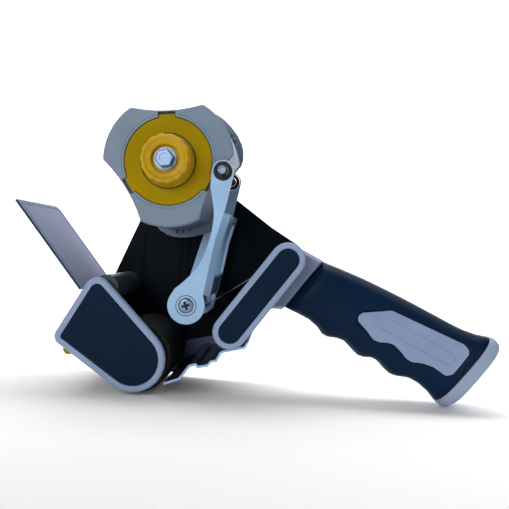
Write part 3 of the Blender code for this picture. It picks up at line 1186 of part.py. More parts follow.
def make_neck():
    """The grey collar between head and grip, with the tongue that the grip halves close on."""
    half = NECK_THICKNESS / 2
    outline = [grip_place(a, b) for a, b in NECK_SHARES]
    chamfer = NECK_CHAMFER
    centre = (sum(x for x, z in outline) / len(outline), sum(z for x, z in outline) / len(outline))
    shrink = 1 - chamfer / GRIP_HEIGHT
    small = [(centre[0] + (x - centre[0]) * shrink, centre[1] + (z - centre[1]) * shrink) for x, z in outline]
    levels = ((small, -half), (outline, chamfer - half), (outline, half - chamfer), (small, half))
    neck = loft("neck_collar", [[(x, y, z) for x, z in shape] for shape, y in levels], GREY_PLASTIC)
    ahead = grip_place(-GAP / GRIP_LENGTH, 0)
    face = [moved(ahead, GRIP_DROP, -GRIP_HEIGHT), moved(ahead, GRIP_DROP, GRIP_HEIGHT + GRIP_HEIGHT)]
    face += [moved(p, GRIP_ALONG, GRIP_HEIGHT) for p in face[::-1]]
    cut(neck, prism("cutter", face, -GRIP_HEIGHT, GRIP_HEIGHT))
    cut(neck, prism("cutter", rear_shape(-GAP), -GRIP_HEIGHT, GRIP_HEIGHT))
    tang_half = TANG_THICKNESS / 2
    weld(neck, prism("tool", tang_outline(0), -tang_half, tang_half))


def make_grip():
    """Two soft-skinned halves with a pocket for the tongue, each with a grey inlay."""
    inlay_plan = rounded([grip_place(a, b) for a, b in INLAY_SHARES], INLAY_CORNER, 2, 8)
    recess_centre = grip_place(*INLAY_CENTRE_SHARES)
    grow = 1 + GAP / INLAY_HALF_LENGTH
    recess_plan = [(recess_centre[0] + (x - recess_centre[0]) * grow,
                    recess_centre[1] + (z - recess_centre[1]) * grow) for x, z in inlay_plan]
    pocket = TANG_THICKNESS / 2 + GAP
    floor = GRIP_THICKNESS / 2 - INLAY_DEPTH
    reach = GRIP_THICKNESS
    for name, side in (("near", -1), ("far", 1)):
        half = loft(f"grip_{name}", grip_loops(side, 0, GAP / 2), NAVY_RUBBER)
        cut(half, prism("cutter", tang_outline(GAP), -pocket, pocket))
        low, high = sorted((side * (floor - GAP), side * reach))
        cut(half, prism("cutter", recess_plan, low, high))
        low, high = sorted((side * floor, side * reach))
        inlay = loft(f"inlay_{name}", grip_loops(side, INLAY_PROUD, GAP / 2), GREY_PLASTIC)
        combine(inlay, prism("cutter", inlay_plan, low, high), "INTERSECT")
        start, end = sorted((side * (pocket - GRIP_SCREW_BITE), side * reach))
        for along, drop in GRIP_SCREW_SHARES if side > 0 else ():
            at = grip_place(along, drop)
            seat = GRIP_THICKNESS / 2 - GRIP_SCREW_SUNK - GRIP_SCREW_HEAD_HEIGHT
            radius = GRIP_SCREW_RADIUS + GAP
            cut(half, disc("cutter", at, radius, start, end, steps=16),
                disc("cutter", at, GRIP_SCREW_HEAD + GAP, seat - GAP, reach, steps=20))
            cut(bpy.data.objects["neck_collar"],
                disc("cutter", at, radius, seat - GRIP_SCREW_BITE, reach, steps=16))
    for name, (along, drop) in zip(("front", "rear"), GRIP_SCREW_SHARES):
        far = GRIP_THICKNESS / 2 - GRIP_SCREW_SUNK
        near = far - GRIP_SCREW_HEAD_HEIGHT
        end = near - GRIP_SCREW_BITE + GAP
        turned(f"grip_screw_{name}", ((0, end), (GRIP_SCREW_RADIUS, end), (GRIP_SCREW_RADIUS, near),
                                      (GRIP_SCREW_HEAD, near), (GRIP_SCREW_HEAD, far), (0, far)),
               grip_place(along, drop), DARK_STEEL, 20, False)


def make_cap():
    """The grey cap on the grip's butt."""
    loops = []
    start = 1 + GAP / GRIP_LENGTH
    for along, top, low, width in CAP_SHARES:
        share = start + along * CAP_LENGTH / GRIP_LENGTH
        half = GRIP_THICKNESS / 2 * width
        near = grip_section(share, top, low, -half, 0)
        far = grip_section(share, top, low, half, 0)
        loops.append(near + far[-2:0:-1])
    loft("butt_cap", loops, GREY_PLASTIC)


def make_frame_screws():
    """Pan-head screws from the far side into the head block."""
    near = FRAME_FACE - FRAME_SCREW_BITE + GAP
    head = FRAME_BACK + GAP
    top = head + FRAME_SCREW_HEAD_HEIGHT
    for name, at in (("upper", REAR_UPPER_AT), ("lower", REAR_LOWER_AT)):
        turned(f"frame_screw_{name}", ((0, near), (FRAME_SCREW_RADIUS, near), (FRAME_SCREW_RADIUS, head),
                                       (FRAME_SCREW_HEAD, head), (FRAME_SCREW_HEAD, (head + top) / 2),
                                       (FRAME_SCREW_HEAD / 2, top), (0, top)), at, BRIGHT_STEEL, 20, False)


def stand_up():
    """Lifts and centres the model, so that its box stands on the world's origin."""
    bpy.context.view_layer.update()
    graph = bpy.context.evaluated_depsgraph_get()
    corners = []
    for piece in STAND.children:
        shape = piece.evaluated_get(graph)
        mesh = shape.to_mesh()
        corners += [piece.matrix_world @ vertex.co for vertex in mesh.vertices]
        shape.to_mesh_clear()
    low = Vector(min(c[i] for c in corners) for i in range(3))
    high = Vector(max(c[i] for c in corners) for i in range(3))
    STAND.location = (-(low.x + high.x) / 2, -(low.y + high.y) / 2, -low.z)
    print("hub axis", [round(v, 5) for v in STAND.location], "box", [round(v, 4) for v in high - low])


for old in list(bpy.data.objects):
    bpy.data.objects.remove(old)
STAND = bpy.data.objects.new("stand", None)
bpy.context.scene.collection.objects.link(STAND)

WEB_NEAR = make_hub()
make_hub_disc()
KNOB_SEAT = make_knob(WEB_NEAR)
make_hub_bolt(KNOB_SEAT)
make_frame()
make_front_cover()
make_cross_tube()
make_blade(*make_wiper())
make_guard()
make_roller()
make_arm()
make_arm_ends()
make_pivot()
make_arm_spring()
make_head()
make_guide()
make_neck()
make_grip()
make_cap()
make_frame_screws()
stand_up()
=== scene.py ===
"""Looks of the hand tape dispenser: finishes, fine shapes, floor, light and camera."""

import json
import math

import bmesh
import bpy
from mathutils import Matrix, Vector
from mathutils.bvhtree import BVHTree


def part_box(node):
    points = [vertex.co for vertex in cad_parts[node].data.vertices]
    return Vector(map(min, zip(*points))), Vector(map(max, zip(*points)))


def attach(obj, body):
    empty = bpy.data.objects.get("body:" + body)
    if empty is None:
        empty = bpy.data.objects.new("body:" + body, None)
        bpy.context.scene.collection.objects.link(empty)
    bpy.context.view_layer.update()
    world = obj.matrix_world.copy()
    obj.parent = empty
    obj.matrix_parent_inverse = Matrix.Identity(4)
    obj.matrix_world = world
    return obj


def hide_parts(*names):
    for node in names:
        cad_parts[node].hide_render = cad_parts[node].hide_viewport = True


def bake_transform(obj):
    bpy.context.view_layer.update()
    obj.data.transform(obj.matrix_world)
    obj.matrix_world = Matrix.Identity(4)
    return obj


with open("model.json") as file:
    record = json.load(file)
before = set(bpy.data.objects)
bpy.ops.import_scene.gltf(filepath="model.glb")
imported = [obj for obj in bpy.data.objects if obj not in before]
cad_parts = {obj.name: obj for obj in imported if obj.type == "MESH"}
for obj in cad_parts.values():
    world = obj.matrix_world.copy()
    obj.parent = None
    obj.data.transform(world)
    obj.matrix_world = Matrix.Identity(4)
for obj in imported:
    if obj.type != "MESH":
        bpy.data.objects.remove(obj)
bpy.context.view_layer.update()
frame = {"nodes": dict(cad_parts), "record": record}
NODES = frame["nodes"]


def linear(code):
    """The linear colour of a six-digit sRGB code."""
    parts = [int(code[i:i + 2], 16) / 255 for i in (0, 2, 4)]
    return tuple(c / 12.92 if c <= 0.04045 else ((c + 0.055) / 1.055) ** 2.4 for c in parts)


def shade(colour, factor):
    """The colour made lighter or darker."""
    return tuple(min(1, c * factor) for c in colour)


# Where most of a noise's values lie
NOISE_BAND = (0.3, 0.7)


class Finish:
    """A procedural material: a tone that varies, and fine grain in bump and roughness."""

    def __init__(self, name, metallic=0.0):
        self.material = bpy.data.materials.new(name)
        self.material.use_nodes = True
        self.tree = self.material.node_tree
        self.shader = self.tree.nodes["Principled BSDF"]
        self.shader.inputs["Metallic"].default_value = metallic
        self.place = self.tree.nodes.new("ShaderNodeTexCoord").outputs["Object"]
        self.height = None

    def link(self, start, end):
        self.tree.links.new(start, end)

    def noise(self, scale, detail=3.0, roughness=0.55, stretch=None):
        """Noise with features of about 1 / scale metres; stretch draws it out along an axis."""
        node = self.tree.nodes.new("ShaderNodeTexNoise")
        node.inputs["Scale"].default_value = scale
        node.inputs["Detail"].default_value = detail
        node.inputs["Roughness"].default_value = roughness
        source = self.place
        if stretch:
            mapping = self.tree.nodes.new("ShaderNodeMapping")
            mapping.inputs["Scale"].default_value = stretch
            self.link(source, mapping.inputs["Vector"])
            source = mapping.outputs["Vector"]
        self.link(source, node.inputs["Vector"])
        return node.outputs["Fac"]

    def clouds(self, scale, detail):
        """Broad clouds from 0 to 1."""
        return self.mapped(self.noise(scale, detail), NOISE_BAND, (0, 1))

    def spots(self, scale, low, high):
        """Small round specks where a cell pattern is near its centres."""
        node = self.tree.nodes.new("ShaderNodeTexVoronoi")
        node.inputs["Scale"].default_value = scale
        self.link(self.place, node.inputs["Vector"])
        return self.mapped(node.outputs["Distance"], (low, high), (1, 0))

    def mapped(self, value, source, target):
        node = self.tree.nodes.new("ShaderNodeMapRange")
        node.inputs["From Min"].default_value, node.inputs["From Max"].default_value = source
        node.inputs["To Min"].default_value, node.inputs["To Max"].default_value = target
        self.link(value, node.inputs["Value"])
        return node.outputs["Result"]

    def mixed(self, factor, one, two):
        """A colour between two colours, either of which may be an output."""
        node = self.tree.nodes.new("ShaderNodeMix")
        node.data_type = "RGBA"
        self.link(factor, node.inputs["Factor"])
        for socket, colour in ((node.inputs[6], one), (node.inputs[7], two)):
            if isinstance(colour, tuple):
                socket.default_value = (*colour, 1)
            else:
                self.link(colour, socket)
        return node.outputs[2]

    def colour(self, output):
        self.link(output, self.shader.inputs["Base Color"])

    def tone(self, dark, light, factor):
        """Sets the base colour between two tones."""
        self.colour(self.mixed(factor, dark, light))

    def specular(self, level):
        self.shader.inputs["Specular IOR Level"].default_value = level

    def rough(self, value, low, high):
        self.link(self.mapped(value, NOISE_BAND, (low, high)), self.shader.inputs["Roughness"])

    def bump(self, value, strength, depth):
        """Adds a bump layer of a depth in metres."""
        node = self.tree.nodes.new("ShaderNodeBump")
        node.inputs["Strength"].default_value = strength
        node.inputs["Distance"].default_value = depth
        self.link(value, node.inputs["Height"])
        if self.height:
            self.link(self.height, node.inputs["Normal"])
        self.height = node.outputs["Normal"]
        self.link(self.height, self.shader.inputs["Normal"])


def moulded(name, code, rough, grain=2600, depth=0.00003, spread=0.06, specular=0.3):
    """Moulded plastic: a fine eroded grain, faint flow marks and a few scuffs."""
    finish = Finish(name)
    colour = linear(code)
    base = finish.mixed(finish.clouds(38, 4), shade(colour, 1 - spread), shade(colour, 1 + spread))
    streaks = finish.noise(420, detail=6, roughness=0.7, stretch=(1, 1, 0.25))
    scuffs = finish.mapped(streaks, (0.66, 0.72), (0, 0.35))
    finish.colour(finish.mixed(scuffs, base, shade(colour, 1.3)))
    finish.specular(specular)
    finish.rough(finish.noise(160, detail=4), *rough)
    finish.bump(finish.noise(grain, detail=3, roughness=0.6), 0.5, depth)
    return finish.material


def soft_skin():
    """The grip's soft navy skin, with a leathery fine grain."""
    finish = Finish("navy_skin")
    colour = linear("051c34")
    finish.tone(shade(colour, 0.85), shade(colour, 1.15), finish.clouds(30, 5))
    finish.rough(finish.noise(900, detail=3), low=0.36, high=0.48)
    finish.bump(finish.noise(3600, detail=2, roughness=0.5), strength=0.4, depth=0.00003)
    finish.bump(finish.noise(220, detail=3, roughness=0.5), strength=0.1, depth=0.0002)
    finish.specular(0.07)
    return finish.material


def plated(name, code, rough, stretch=(1, 1, 1), spread=0.1, metallic=0.9):
    """Plated sheet: cloudy tone, faint drawing lines and small pits."""
    finish = Finish(name, metallic)
    colour = linear(code)
    base = finish.mixed(finish.clouds(55, 5), shade(colour, 1 - spread), shade(colour, 1 + spread))
    pits = finish.spots(950, low=0.02, high=0.08)
    finish.colour(finish.mixed(pits, base, shade(colour, 0.6)))
    finish.rough(finish.noise(700, detail=5, roughness=0.6, stretch=stretch), *rough)
    lines = finish.noise(1400, detail=4, roughness=0.6, stretch=stretch)
    finish.bump(lines, strength=0.18, depth=0.00003)
    return finish.material


def powder_coat():
    """Black powder coat with its fine orange peel and a little dust."""
    finish = Finish("powder_coat")
    colour = linear("040c15")
    base = finish.mixed(finish.clouds(45, 4), shade(colour, 0.75), shade(colour, 1.3))
    dust = finish.mapped(finish.noise(1300, detail=5, roughness=0.7), (0.62, 0.74), (0, 0.25))
    finish.colour(finish.mixed(dust, base, linear("141c24")))
    finish.specular(0.04)
    finish.rough(finish.noise(500, detail=3), low=0.36, high=0.5)
    finish.bump(finish.noise(1500, detail=2, roughness=0.4), strength=0.5, depth=0.00005)
    return finish.material


def black_rubber():
    """Matt black rubber with a ground surface and a little dust."""
    finish = Finish("ground_rubber")
    dust = finish.mapped(finish.noise(260, detail=6, roughness=0.7), (0.55, 0.75), (0, 0.6))
    finish.tone(linear("0c0d0f"), linear("1d1e21"), dust)
    finish.specular(0.3)
    finish.rough(finish.noise(600, detail=3), low=0.5, high=0.7)
    finish.bump(finish.noise(2600, detail=3, roughness=0.6), strength=0.5, depth=0.00004)
    return finish.material


def smoky_flap(name, dark, light):
    """The flap's smoky sheet, with a few fine scratches along it."""
    finish = Finish(name)
    base = finish.mixed(finish.clouds(60, 4), linear(dark), linear(light))
    streaks = finish.noise(500, detail=4, roughness=0.6, stretch=(0.25, 2, 0.25))
    scratches = finish.mapped(streaks, (0.7, 0.78), (0, 0.12))
    finish.colour(finish.mixed(scratches, base, linear("8a8c9c")))
    finish.specular(0.04)
    finish.rough(finish.noise(300, detail=4), low=0.55, high=0.65)
    finish.bump(finish.noise(90, detail=3), strength=0.05, depth=0.0001)
    return finish.material


def pressed_felt():
    """The friction washer's felt."""
    finish = Finish("pressed_felt")
    finish.tone(linear("6e6656"), linear("8d8470"), finish.noise(900, detail=6, roughness=0.8))
    finish.rough(finish.noise(800, detail=3), low=0.9, high=1.0)
    finish.bump(finish.noise(1800, detail=6, roughness=0.8), strength=0.8, depth=0.0001)
    return finish.material


# The way in which zinc sheet was drawn: its noise is stretched along Z
DRAWN = (1, 1, 0.2)

FINISHES = {
    "grey_plastic": moulded("grey_moulding", "7e8fae", (0.42, 0.58)),
    "navy_plastic": moulded("navy_moulding", "081b30", (0.45, 0.62), grain=1900, depth=0.00005,
                            spread=0.08, specular=0.06),
    "navy_rubber": soft_skin(),
    "yellow_plastic": moulded("yellow_moulding", "947b02", (0.45, 0.6), grain=2200,
                              depth=0.00004, specular=0.03),
    "black_plastic": moulded("black_moulding", "101419", (0.4, 0.55), specular=0.25),
    "black_steel": powder_coat(),
    "zinc": plated("zinc_plate", "8aa8c6", (0.46, 0.56), DRAWN, spread=0.08, metallic=0.5),
    "bright_steel": plated("nickel_plate", "7688a4", (0.34, 0.46)),
    "dark_steel": plated("blackened_steel", "4c4e54", (0.3, 0.45)),
    "brass": plated("turned_brass", "c59b53", (0.25, 0.4)),
    "black_rubber": black_rubber(),
    "pale_flap": smoky_flap("smoky_sheet", "7a8199", "7e859d"),
    "felt": pressed_felt(),
}
KNOB_YELLOW = moulded("knob_yellow", "b68f12", (0.34, 0.5), grain=2200, depth=0.00004,
                      specular=0.2)
HUB_GREY = moulded("hub_moulding", "6c7d8f", (0.42, 0.58))
CAP_GREY = moulded("cap_moulding", "8896ad", (0.42, 0.58))
NECK_GREY = moulded("neck_moulding", "76809b", (0.42, 0.58), specular=0.2)
TUBE_BLACK = moulded("tube_black", "2c3640", (0.34, 0.48), specular=0.3)
STUD_BRONZE = plated("stud_bronze", "3c3430", (0.3, 0.42))
# Painted shade on the arm spring's coil, where it lies between the frame and the arm
COIL_SHADE_STEEL = plated("painted_shade_coil", "3e4650", (0.28, 0.4))
# Painted shade in the pivot screw's cross recess
RECESS_SHADE_STEEL = plated("painted_recess_shade", "1c2026", (0.5, 0.6), metallic=0.5)
FLAP_EDGE = smoky_flap("sheet_edge", "1d3345", "2c4558")
FLAP_LINE = smoky_flap("sheet_line", "323a4c", "3a4256")
# Painted shade on the arm bracket's faces that face sideways: its bends, web and cut edges
SIDE_SHADE_ZINC = plated("painted_side_shade", "5a7390", (0.42, 0.52), DRAWN, metallic=0.6)
# Painted shade and dark reflection on the guide plate's front faces behind its near edge
STEP_SHADE_ZINC = plated("painted_step_shade", "182c38", (0.3, 0.42), DRAWN, spread=0.12, metallic=0.6)
# Painted shade on the guide plate's far flange
FLANGE_SHADE_ZINC = plated("painted_flange_shade", "434b6c", (0.35, 0.45), DRAWN, metallic=0.6)
# Painted shade on the guide plate's broad faces
BROAD_SHADE_ZINC = plated("shaded_zinc", "2a303c", (0.25, 0.38), DRAWN, spread=0.15, metallic=0.6)

RECORD = frame["record"]
SLOTS = {part["node"]: part["material_slot"] for part in RECORD["subparts"]}
BODY_OF = {node: body for body, nodes in RECORD["behaviour"]["bodies"].items() for node in nodes}

# Vertices nearer than WELD are joined, edges flatter than FLAT dissolved, and edges sharper than
# SHARP rounded in EDGE_STEPS
WELD = 0.000002
FLAT = math.radians(0.3)
SHARP = math.radians(35)
EDGE_STEPS = 2

# How much a large face leads the shading round it, from 50 (no more than others) to 100
BROAD_FACE_WEIGHT = 90

# How much of its normal lies along a direction where a face faces it, or is square on to it
FACING = 0.7
SQUARE_ON = 0.9

# The hub's axis in the frame, from which the places below are measured
BOLT_LOW, BOLT_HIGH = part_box("hub_bolt")
HUB_X, HUB_Z = (BOLT_LOW.x + BOLT_HIGH.x) / 2, (BOLT_LOW.z + BOLT_HIGH.z) / 2
HUB_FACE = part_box("hub")[0].y


def new_piece(name, bm):
    """An object with a bmesh's shape."""
    bmesh.ops.recalc_face_normals(bm, faces=bm.faces)
    mesh = bpy.data.meshes.new(name)
    bm.to_mesh(mesh)
    bm.free()
    piece = bpy.data.objects.new(name, mesh)
    bpy.context.scene.collection.objects.link(piece)
    return piece


def finish_mesh(piece, edge=0):
    """Smooth shading, with the sharp edges rounded by a radius or, without one, kept crisp."""
    piece.data.shade_smooth()
    if not edge:
        piece.data.set_sharp_from_angle(angle=SHARP)
        return
    bevel = piece.modifiers.new("edges", "BEVEL")
    bevel.width = edge
    bevel.segments = EDGE_STEPS
    bevel.limit_method = "ANGLE"
    bevel.angle_limit = SHARP
    bevel.harden_normals = True
    weights = piece.modifiers.new("weights", "WEIGHTED_NORMAL")
    weights.mode = "FACE_AREA"
    weights.weight = BROAD_FACE_WEIGHT


def put(piece, body, material):
    """Gives a new piece its body, if it rides on one alone, and its finish."""
    piece.data.materials.clear()
    piece.data.materials.append(material)
    if body:
        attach(piece, body)


def stands_for(piece, *nodes, material=None, rides=True):
    """The piece takes the place of CAD nodes, which it hides, with the finish of their slot, and
    their body if it rides.
    """
    slot = SLOTS[nodes[0]]
    put(piece, BODY_OF[nodes[0]] if rides else None, material or FINISHES[slot])
    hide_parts(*nodes)
    return piece


def refined(node, edge, material=None, rides=True):
    """A welded copy of a node's shape; with an edge radius, its facets joined and edges rounded."""
    bm = bmesh.new()
    bm.from_mesh(NODES[node].data)
    bmesh.ops.remove_doubles(bm, verts=bm.verts, dist=WELD)
    if edge:
        flat = [e for e in bm.edges if len(e.link_faces) == 2 and e.calc_face_angle() < FLAT]
        bmesh.ops.dissolve_edges(bm, edges=flat, use_verts=False, use_face_split=False)
    piece = new_piece(f"{node}_fine", bm)
    finish_mesh(piece, edge)
    return stands_for(piece, node, material=material, rides=rides)


def split(piece, material, test):
    """Gives the faces that pass a test another finish."""
    piece.data.materials.append(material)
    index = len(piece.data.materials) - 1
    for face in piece.data.polygons:
        if test(face):
            face.material_index = index


# Radius of the rounded edges; 0 leaves a shape's edges as the CAD has them
SMALL_EDGE = 0.0002
EDGES = {
    "frame_plate": 0.0003, "front_inner_plate": 0.0003, "blade_bracket": 0.0003,
    "lower_guide_plate": 0.0002, "front_side_panel": 0.0005, "rear_side_cover": 0.0005,
    "front_panel_inset": 0.0003, "rear_side_inset": 0.0003, "arm_bracket": 0.0003, "hub": 0.0004,
    "hub_disc": 0.0004, "neck_collar": 0.0010, "head_block": 0.0008, "butt_cap": 0.0006,
    "inlay_near": 0.0004, "inlay_far": 0.0004, "wiper_flap": 0.0002, "roller_rubber": 0.0004,
    "roller_core": 0.0003, "grip_near": 0, "grip_far": 0, "guard_spring": 0, "brake_spring": 0,
}
OWN_SHAPES = {"tension_knob", "wiper_flap", "lower_guide_plate", "arm_bracket", "arm_spring",
              "ear_stud_near", "pivot_screw"}
OWN_FINISHES = {"hub": HUB_GREY, "butt_cap": CAP_GREY, "neck_collar": NECK_GREY,
                "upper_spacer_tube": TUBE_BLACK, "ear_stud_far": STUD_BRONZE}


def carried_over():
    """Every CAD shape that has no function of its own below, with finer edges."""
    for node in sorted(set(NODES) - OWN_SHAPES):
        refined(node, EDGES.get(node, SMALL_EDGE), material=OWN_FINISHES.get(node))


# Turned rows of the knob in metres: radius, depth behind its rim, depth of the scallops
KNOB_ROWS = (
    (0.0152, 0.0127, 0), (0.0152, 0.0108, 0), (0.0149, 0.0102, 0.0001), (0.0146, 0.0070, 0.0004),
    (0.0142, 0.0030, 0.0006), (0.0140, 0.0014, 0.0007), (0.0136, 0.0006, 0.0007),
    (0.0130, 0.0001, 0.0005), (0.0123, 0.0, 0.0002), (0.0116, 0.0003, 0), (0.0111, 0.0008, 0),
    (0.0104, 0.0011, 0), (0.0092, 0.0013, 0), (0.0084, 0.0015, 0), (0.0079, 0.0019, 0),
    (0.0076, 0.0026, 0), (0.0075, 0.0036, 0), (0.0043, 0.0036, 0), (0.0043, 0.0066, 0),
    (0.0105, 0.0066, 0), (0.0105, 0.0127, 0),
)
KNOB_SCALLOPS = 14
KNOB_STEPS = 168


def knob():
    """The knob, with a scalloped bead round a dished face."""
    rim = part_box("tension_knob")[0].y
    bm = bmesh.new()
    rings = []
    for radius, depth, scallop in KNOB_ROWS:
        ring = []
        for i in range(KNOB_STEPS):
            t = 2 * math.pi * i / KNOB_STEPS
            here = radius - scallop * (1 - abs(math.cos(KNOB_SCALLOPS / 2 * t)))
            x, z = HUB_X + here * math.cos(t), HUB_Z + here * math.sin(t)
            ring.append(bm.verts.new((x, rim + depth, z)))
        rings.append(ring)
    for one, two in zip(rings, rings[1:] + rings[:1]):
        for i in range(KNOB_STEPS):
            j = (i + 1) % KNOB_STEPS
            bm.faces.new((one[i], one[j], two[j], two[i]))
    piece = new_piece("tension_knob_fine", bm)
    finish_mesh(piece)
    stands_for(piece, "tension_knob", material=KNOB_YELLOW)


# Sides of a thin line's round section
LINE_SIDES = 6


def tube_along(name, paths, radius, closed=False, across=Vector((0, 1, 0))):
    """Thin round lines along paths of points, none of which runs along the across direction."""
    turns = [2 * math.pi * k / LINE_SIDES for k in range(LINE_SIDES)]
    bm = bmesh.new()
    for path in paths:
        rings = []
        count = len(path)
        for i, place in enumerate(path):
            before = path[i - 1] if closed or i else path[i]
            after = path[(i + 1) % count] if closed or i < count - 1 else path[i]
            way = (after - before).normalized()
            aside = way.cross(across).normalized()
            over = way.cross(aside)
            ways = [aside * math.cos(t) + over * math.sin(t) for t in turns]
            rings.append([bm.verts.new(place + radius * outward) for outward in ways])
        links = zip(rings, rings[1:] + rings[:1]) if closed else zip(rings, rings[1:])
        for one, two in links:
            for k in range(LINE_SIDES):
                n = (k + 1) % LINE_SIDES
                bm.faces.new((one[k], one[n], two[n], two[k]))
        if not closed:
            bm.faces.new(rings[0])
            bm.faces.new(rings[-1])
    piece = new_piece(name, bm)
    piece.data.shade_smooth()
    return piece


# The line on the hub's face: its radius, its wire, where its first lobe points and half of a
# notch in degrees, and the steps of each stretch
RING_LINE = 0.0270
RING_WIRE = 0.0002
LOBES = 3
LOBE_TURN = 35.2
NOTCH_TURN = 13
RING_STEPS = 40


def hub_line():
    """The fine line on the hub's face, round the yellow disc and broken at its notches."""
    paths = []
    reach = 180 / LOBES - NOTCH_TURN
    for k in range(LOBES):
        start = LOBE_TURN + 360 / LOBES * k - reach
        turns = [math.radians(start + 2 * reach * i / RING_STEPS) for i in range(RING_STEPS + 1)]
        paths.append([Vector((HUB_X + RING_LINE * math.cos(t), HUB_FACE,
                              HUB_Z + RING_LINE * math.sin(t))) for t in turns])
    put(tube_along("hub_face_line", paths, RING_WIRE), "hub", HUB_GREY)


# The raised line on the inlays: the centres of its round ends, from the hub's axis, its radius,
# its wire, and the steps of its round ends and straight sides
LINE_CENTRES = ((0.1278, -0.0843), (0.1670, -0.1029))
LINE_RADIUS = 0.0036
LINE_WIRE = 0.00028
END_STEPS = 12
SIDE_STEPS = 24

# How far outside the inlays the rays start that find their surface
RAY_START = 0.01


def oblong():
    """The inlay line's closed outline, seen from the side."""
    start, end = (Vector((HUB_X + x, 0, HUB_Z + z)) for x, z in LINE_CENTRES)
    way = (end - start).normalized()
    over = Vector((-way.z, 0, way.x))
    halves = []
    for centre, turn in ((end, -90), (start, 90)):
        turns = [math.radians(turn + 180 * i / END_STEPS) for i in range(END_STEPS + 1)]
        halves.append([centre + LINE_RADIUS * (way * math.cos(t) + over * math.sin(t))
                       for t in turns])
    outline = []
    for half, after in zip(halves, reversed(halves)):
        outline += half
        outline += [half[-1].lerp(after[0], i / SIDE_STEPS) for i in range(1, SIDE_STEPS)]
    return outline


def inlay_line():
    """The raised oblong line, laid on the surface of each inlay."""
    for side, inward in (("near", 1), ("far", -1)):
        low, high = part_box(f"inlay_{side}")
        mesh = NODES[f"inlay_{side}"].data
        surface = BVHTree.FromPolygons([v.co for v in mesh.vertices],
                                       [tuple(p.vertices) for p in mesh.polygons])
        outside = low.y - RAY_START if side == "near" else high.y + RAY_START
        path = [surface.ray_cast(Vector((place.x, outside, place.z)), Vector((0, inward, 0)))[0]
                for place in oblong()]
        piece = tube_along(f"inlay_line_{side}", [path], LINE_WIRE, closed=True)
        put(piece, "frame", FINISHES["grey_plastic"])


# The line on the flap: how far it lies inside the border, its wire, and how close to the flap's
# near and far limits the corners are that it turns at
FLAP_MARGIN = 0.0026
FLAP_LINE_WIRE = 0.00016
FLAP_BORDER = 0.004


def flap():
    """The smoky flap with dark cut edges and a fine line inside the border of its broad face."""
    piece = refined("wiper_flap", EDGES["wiper_flap"])
    low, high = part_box("wiper_flap")
    along = Vector((high.x - low.x, 0, low.z - high.z)).normalized()
    aside = Vector((-along.z, 0, along.x))
    split(piece, FLAP_EDGE, lambda face: abs(face.normal.dot(aside)) < FACING)
    faces = [face for face in piece.data.polygons if face.normal.dot(aside) > SQUARE_ON]
    broad = max(faces, key=lambda face: face.area)
    corners = [piece.data.vertices[i].co.copy() for i in broad.vertices]
    afters = corners[1:] + corners[:1]
    ways = [(after - corner).normalized() for corner, after in zip(corners, afters)]
    foot = min(corner.z for corner in corners if corner.y < low.y + FLAP_BORDER)
    path = []
    for i, corner in enumerate(corners):
        outer = corner.y < low.y + FLAP_BORDER or corner.y > high.y - FLAP_BORDER
        if not outer or corner.z < foot:
            continue
        inward = [broad.normal.cross(way) for way in (ways[i - 1], ways[i])]
        path.append(corner + (inward[0] + inward[1]) * FLAP_MARGIN / (1 + inward[0].dot(inward[1])))
    line = tube_along("flap_line", [path], FLAP_LINE_WIRE, across=broad.normal)
    put(line, BODY_OF["wiper_flap"], FLAP_LINE)


# The guide plate's thickness, and how deep the part at its far edge is that gets painted shade
GUIDE_SHEET = 0.0013
GUIDE_BACK = 0.00195


def guide():
    """The stepped plate: bright near edge, painted shade on its broad faces, painted shade and dark
    reflection on its front faces behind the near edge, and painted shade on the flanges at its far
    edge.
    """
    piece = refined("lower_guide_plate", EDGES["lower_guide_plate"])
    near, far = (corner.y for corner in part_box("lower_guide_plate"))
    split(piece, BROAD_SHADE_ZINC, lambda face: abs(face.normal.y) < FACING)
    # Painted shade and dark reflection on the front faces behind the near edge, painted shade on
    # those of the far flange
    for depth, material in ((near + GUIDE_SHEET, STEP_SHADE_ZINC), (far - GUIDE_BACK, FLANGE_SHADE_ZINC)):
        split(piece, material, lambda face: face.normal.y < -FACING and face.center.y > depth)


def arm():
    """The arm's bracket, whose bends, web and cut edges get painted shade, darker than its plates.
    """
    piece = refined("arm_bracket", EDGES["arm_bracket"])
    split(piece, SIDE_SHADE_ZINC, lambda face: abs(face.normal.y) < FACING)


# The arm's spring: the radius within which it is coiled
COIL_REACH = 0.0085


def arm_spring():
    """The arm's spring, with painted shade on its coil and bright legs, wound between the frame and
    the arm.
    """
    piece = refined("arm_spring", 0, material=COIL_SHADE_STEEL, rides=False)
    low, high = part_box("pivot_shaft")
    axis = (low + high) / 2
    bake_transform(piece)
    split(piece, FINISHES["bright_steel"],
          lambda face: math.hypot(face.center.x - axis.x, face.center.z - axis.z) > COIL_REACH)


# Depth of the stud's bright tip
STUD_TIP = 0.0012


def near_stud():
    """The near ear's stud, dark with a bright tip."""
    piece = refined("ear_stud_near", SMALL_EDGE, material=STUD_BRONZE)
    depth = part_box("ear_stud_near")[0].y + STUD_TIP
    split(piece, FINISHES["bright_steel"],
          lambda face: face.center.y < depth and face.normal.y < -SQUARE_ON)


# How far from the screw's axis its recess reaches
RECESS_RADIUS = 0.0025


def pivot_screw():
    """The pivot's screw, with painted shade in its cross recess."""
    piece = refined("pivot_screw", SMALL_EDGE)
    low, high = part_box("pivot_screw")
    axis = (low + high) / 2
    split(piece, RECESS_SHADE_STEEL,
          lambda face: low.y + SMALL_EDGE < face.center.y < high.y - SMALL_EDGE
          and math.hypot(face.center.x - axis.x, face.center.z - axis.z) < RECESS_RADIUS)


carried_over()
knob()
hub_line()
inlay_line()
flap()
guide()
arm()
arm_spring()
near_stud()
pivot_screw()


# The backdrop in metres: its front and back edges, half its width, its height, and the radius
# of the bend between floor and wall with its steps
FRONT_EDGE = -1.9
BACK_EDGE = 1.6
HALF_WIDTH = 3.2
WALL_TOP = 1.9
BEND = 0.7
BEND_STEPS = 12


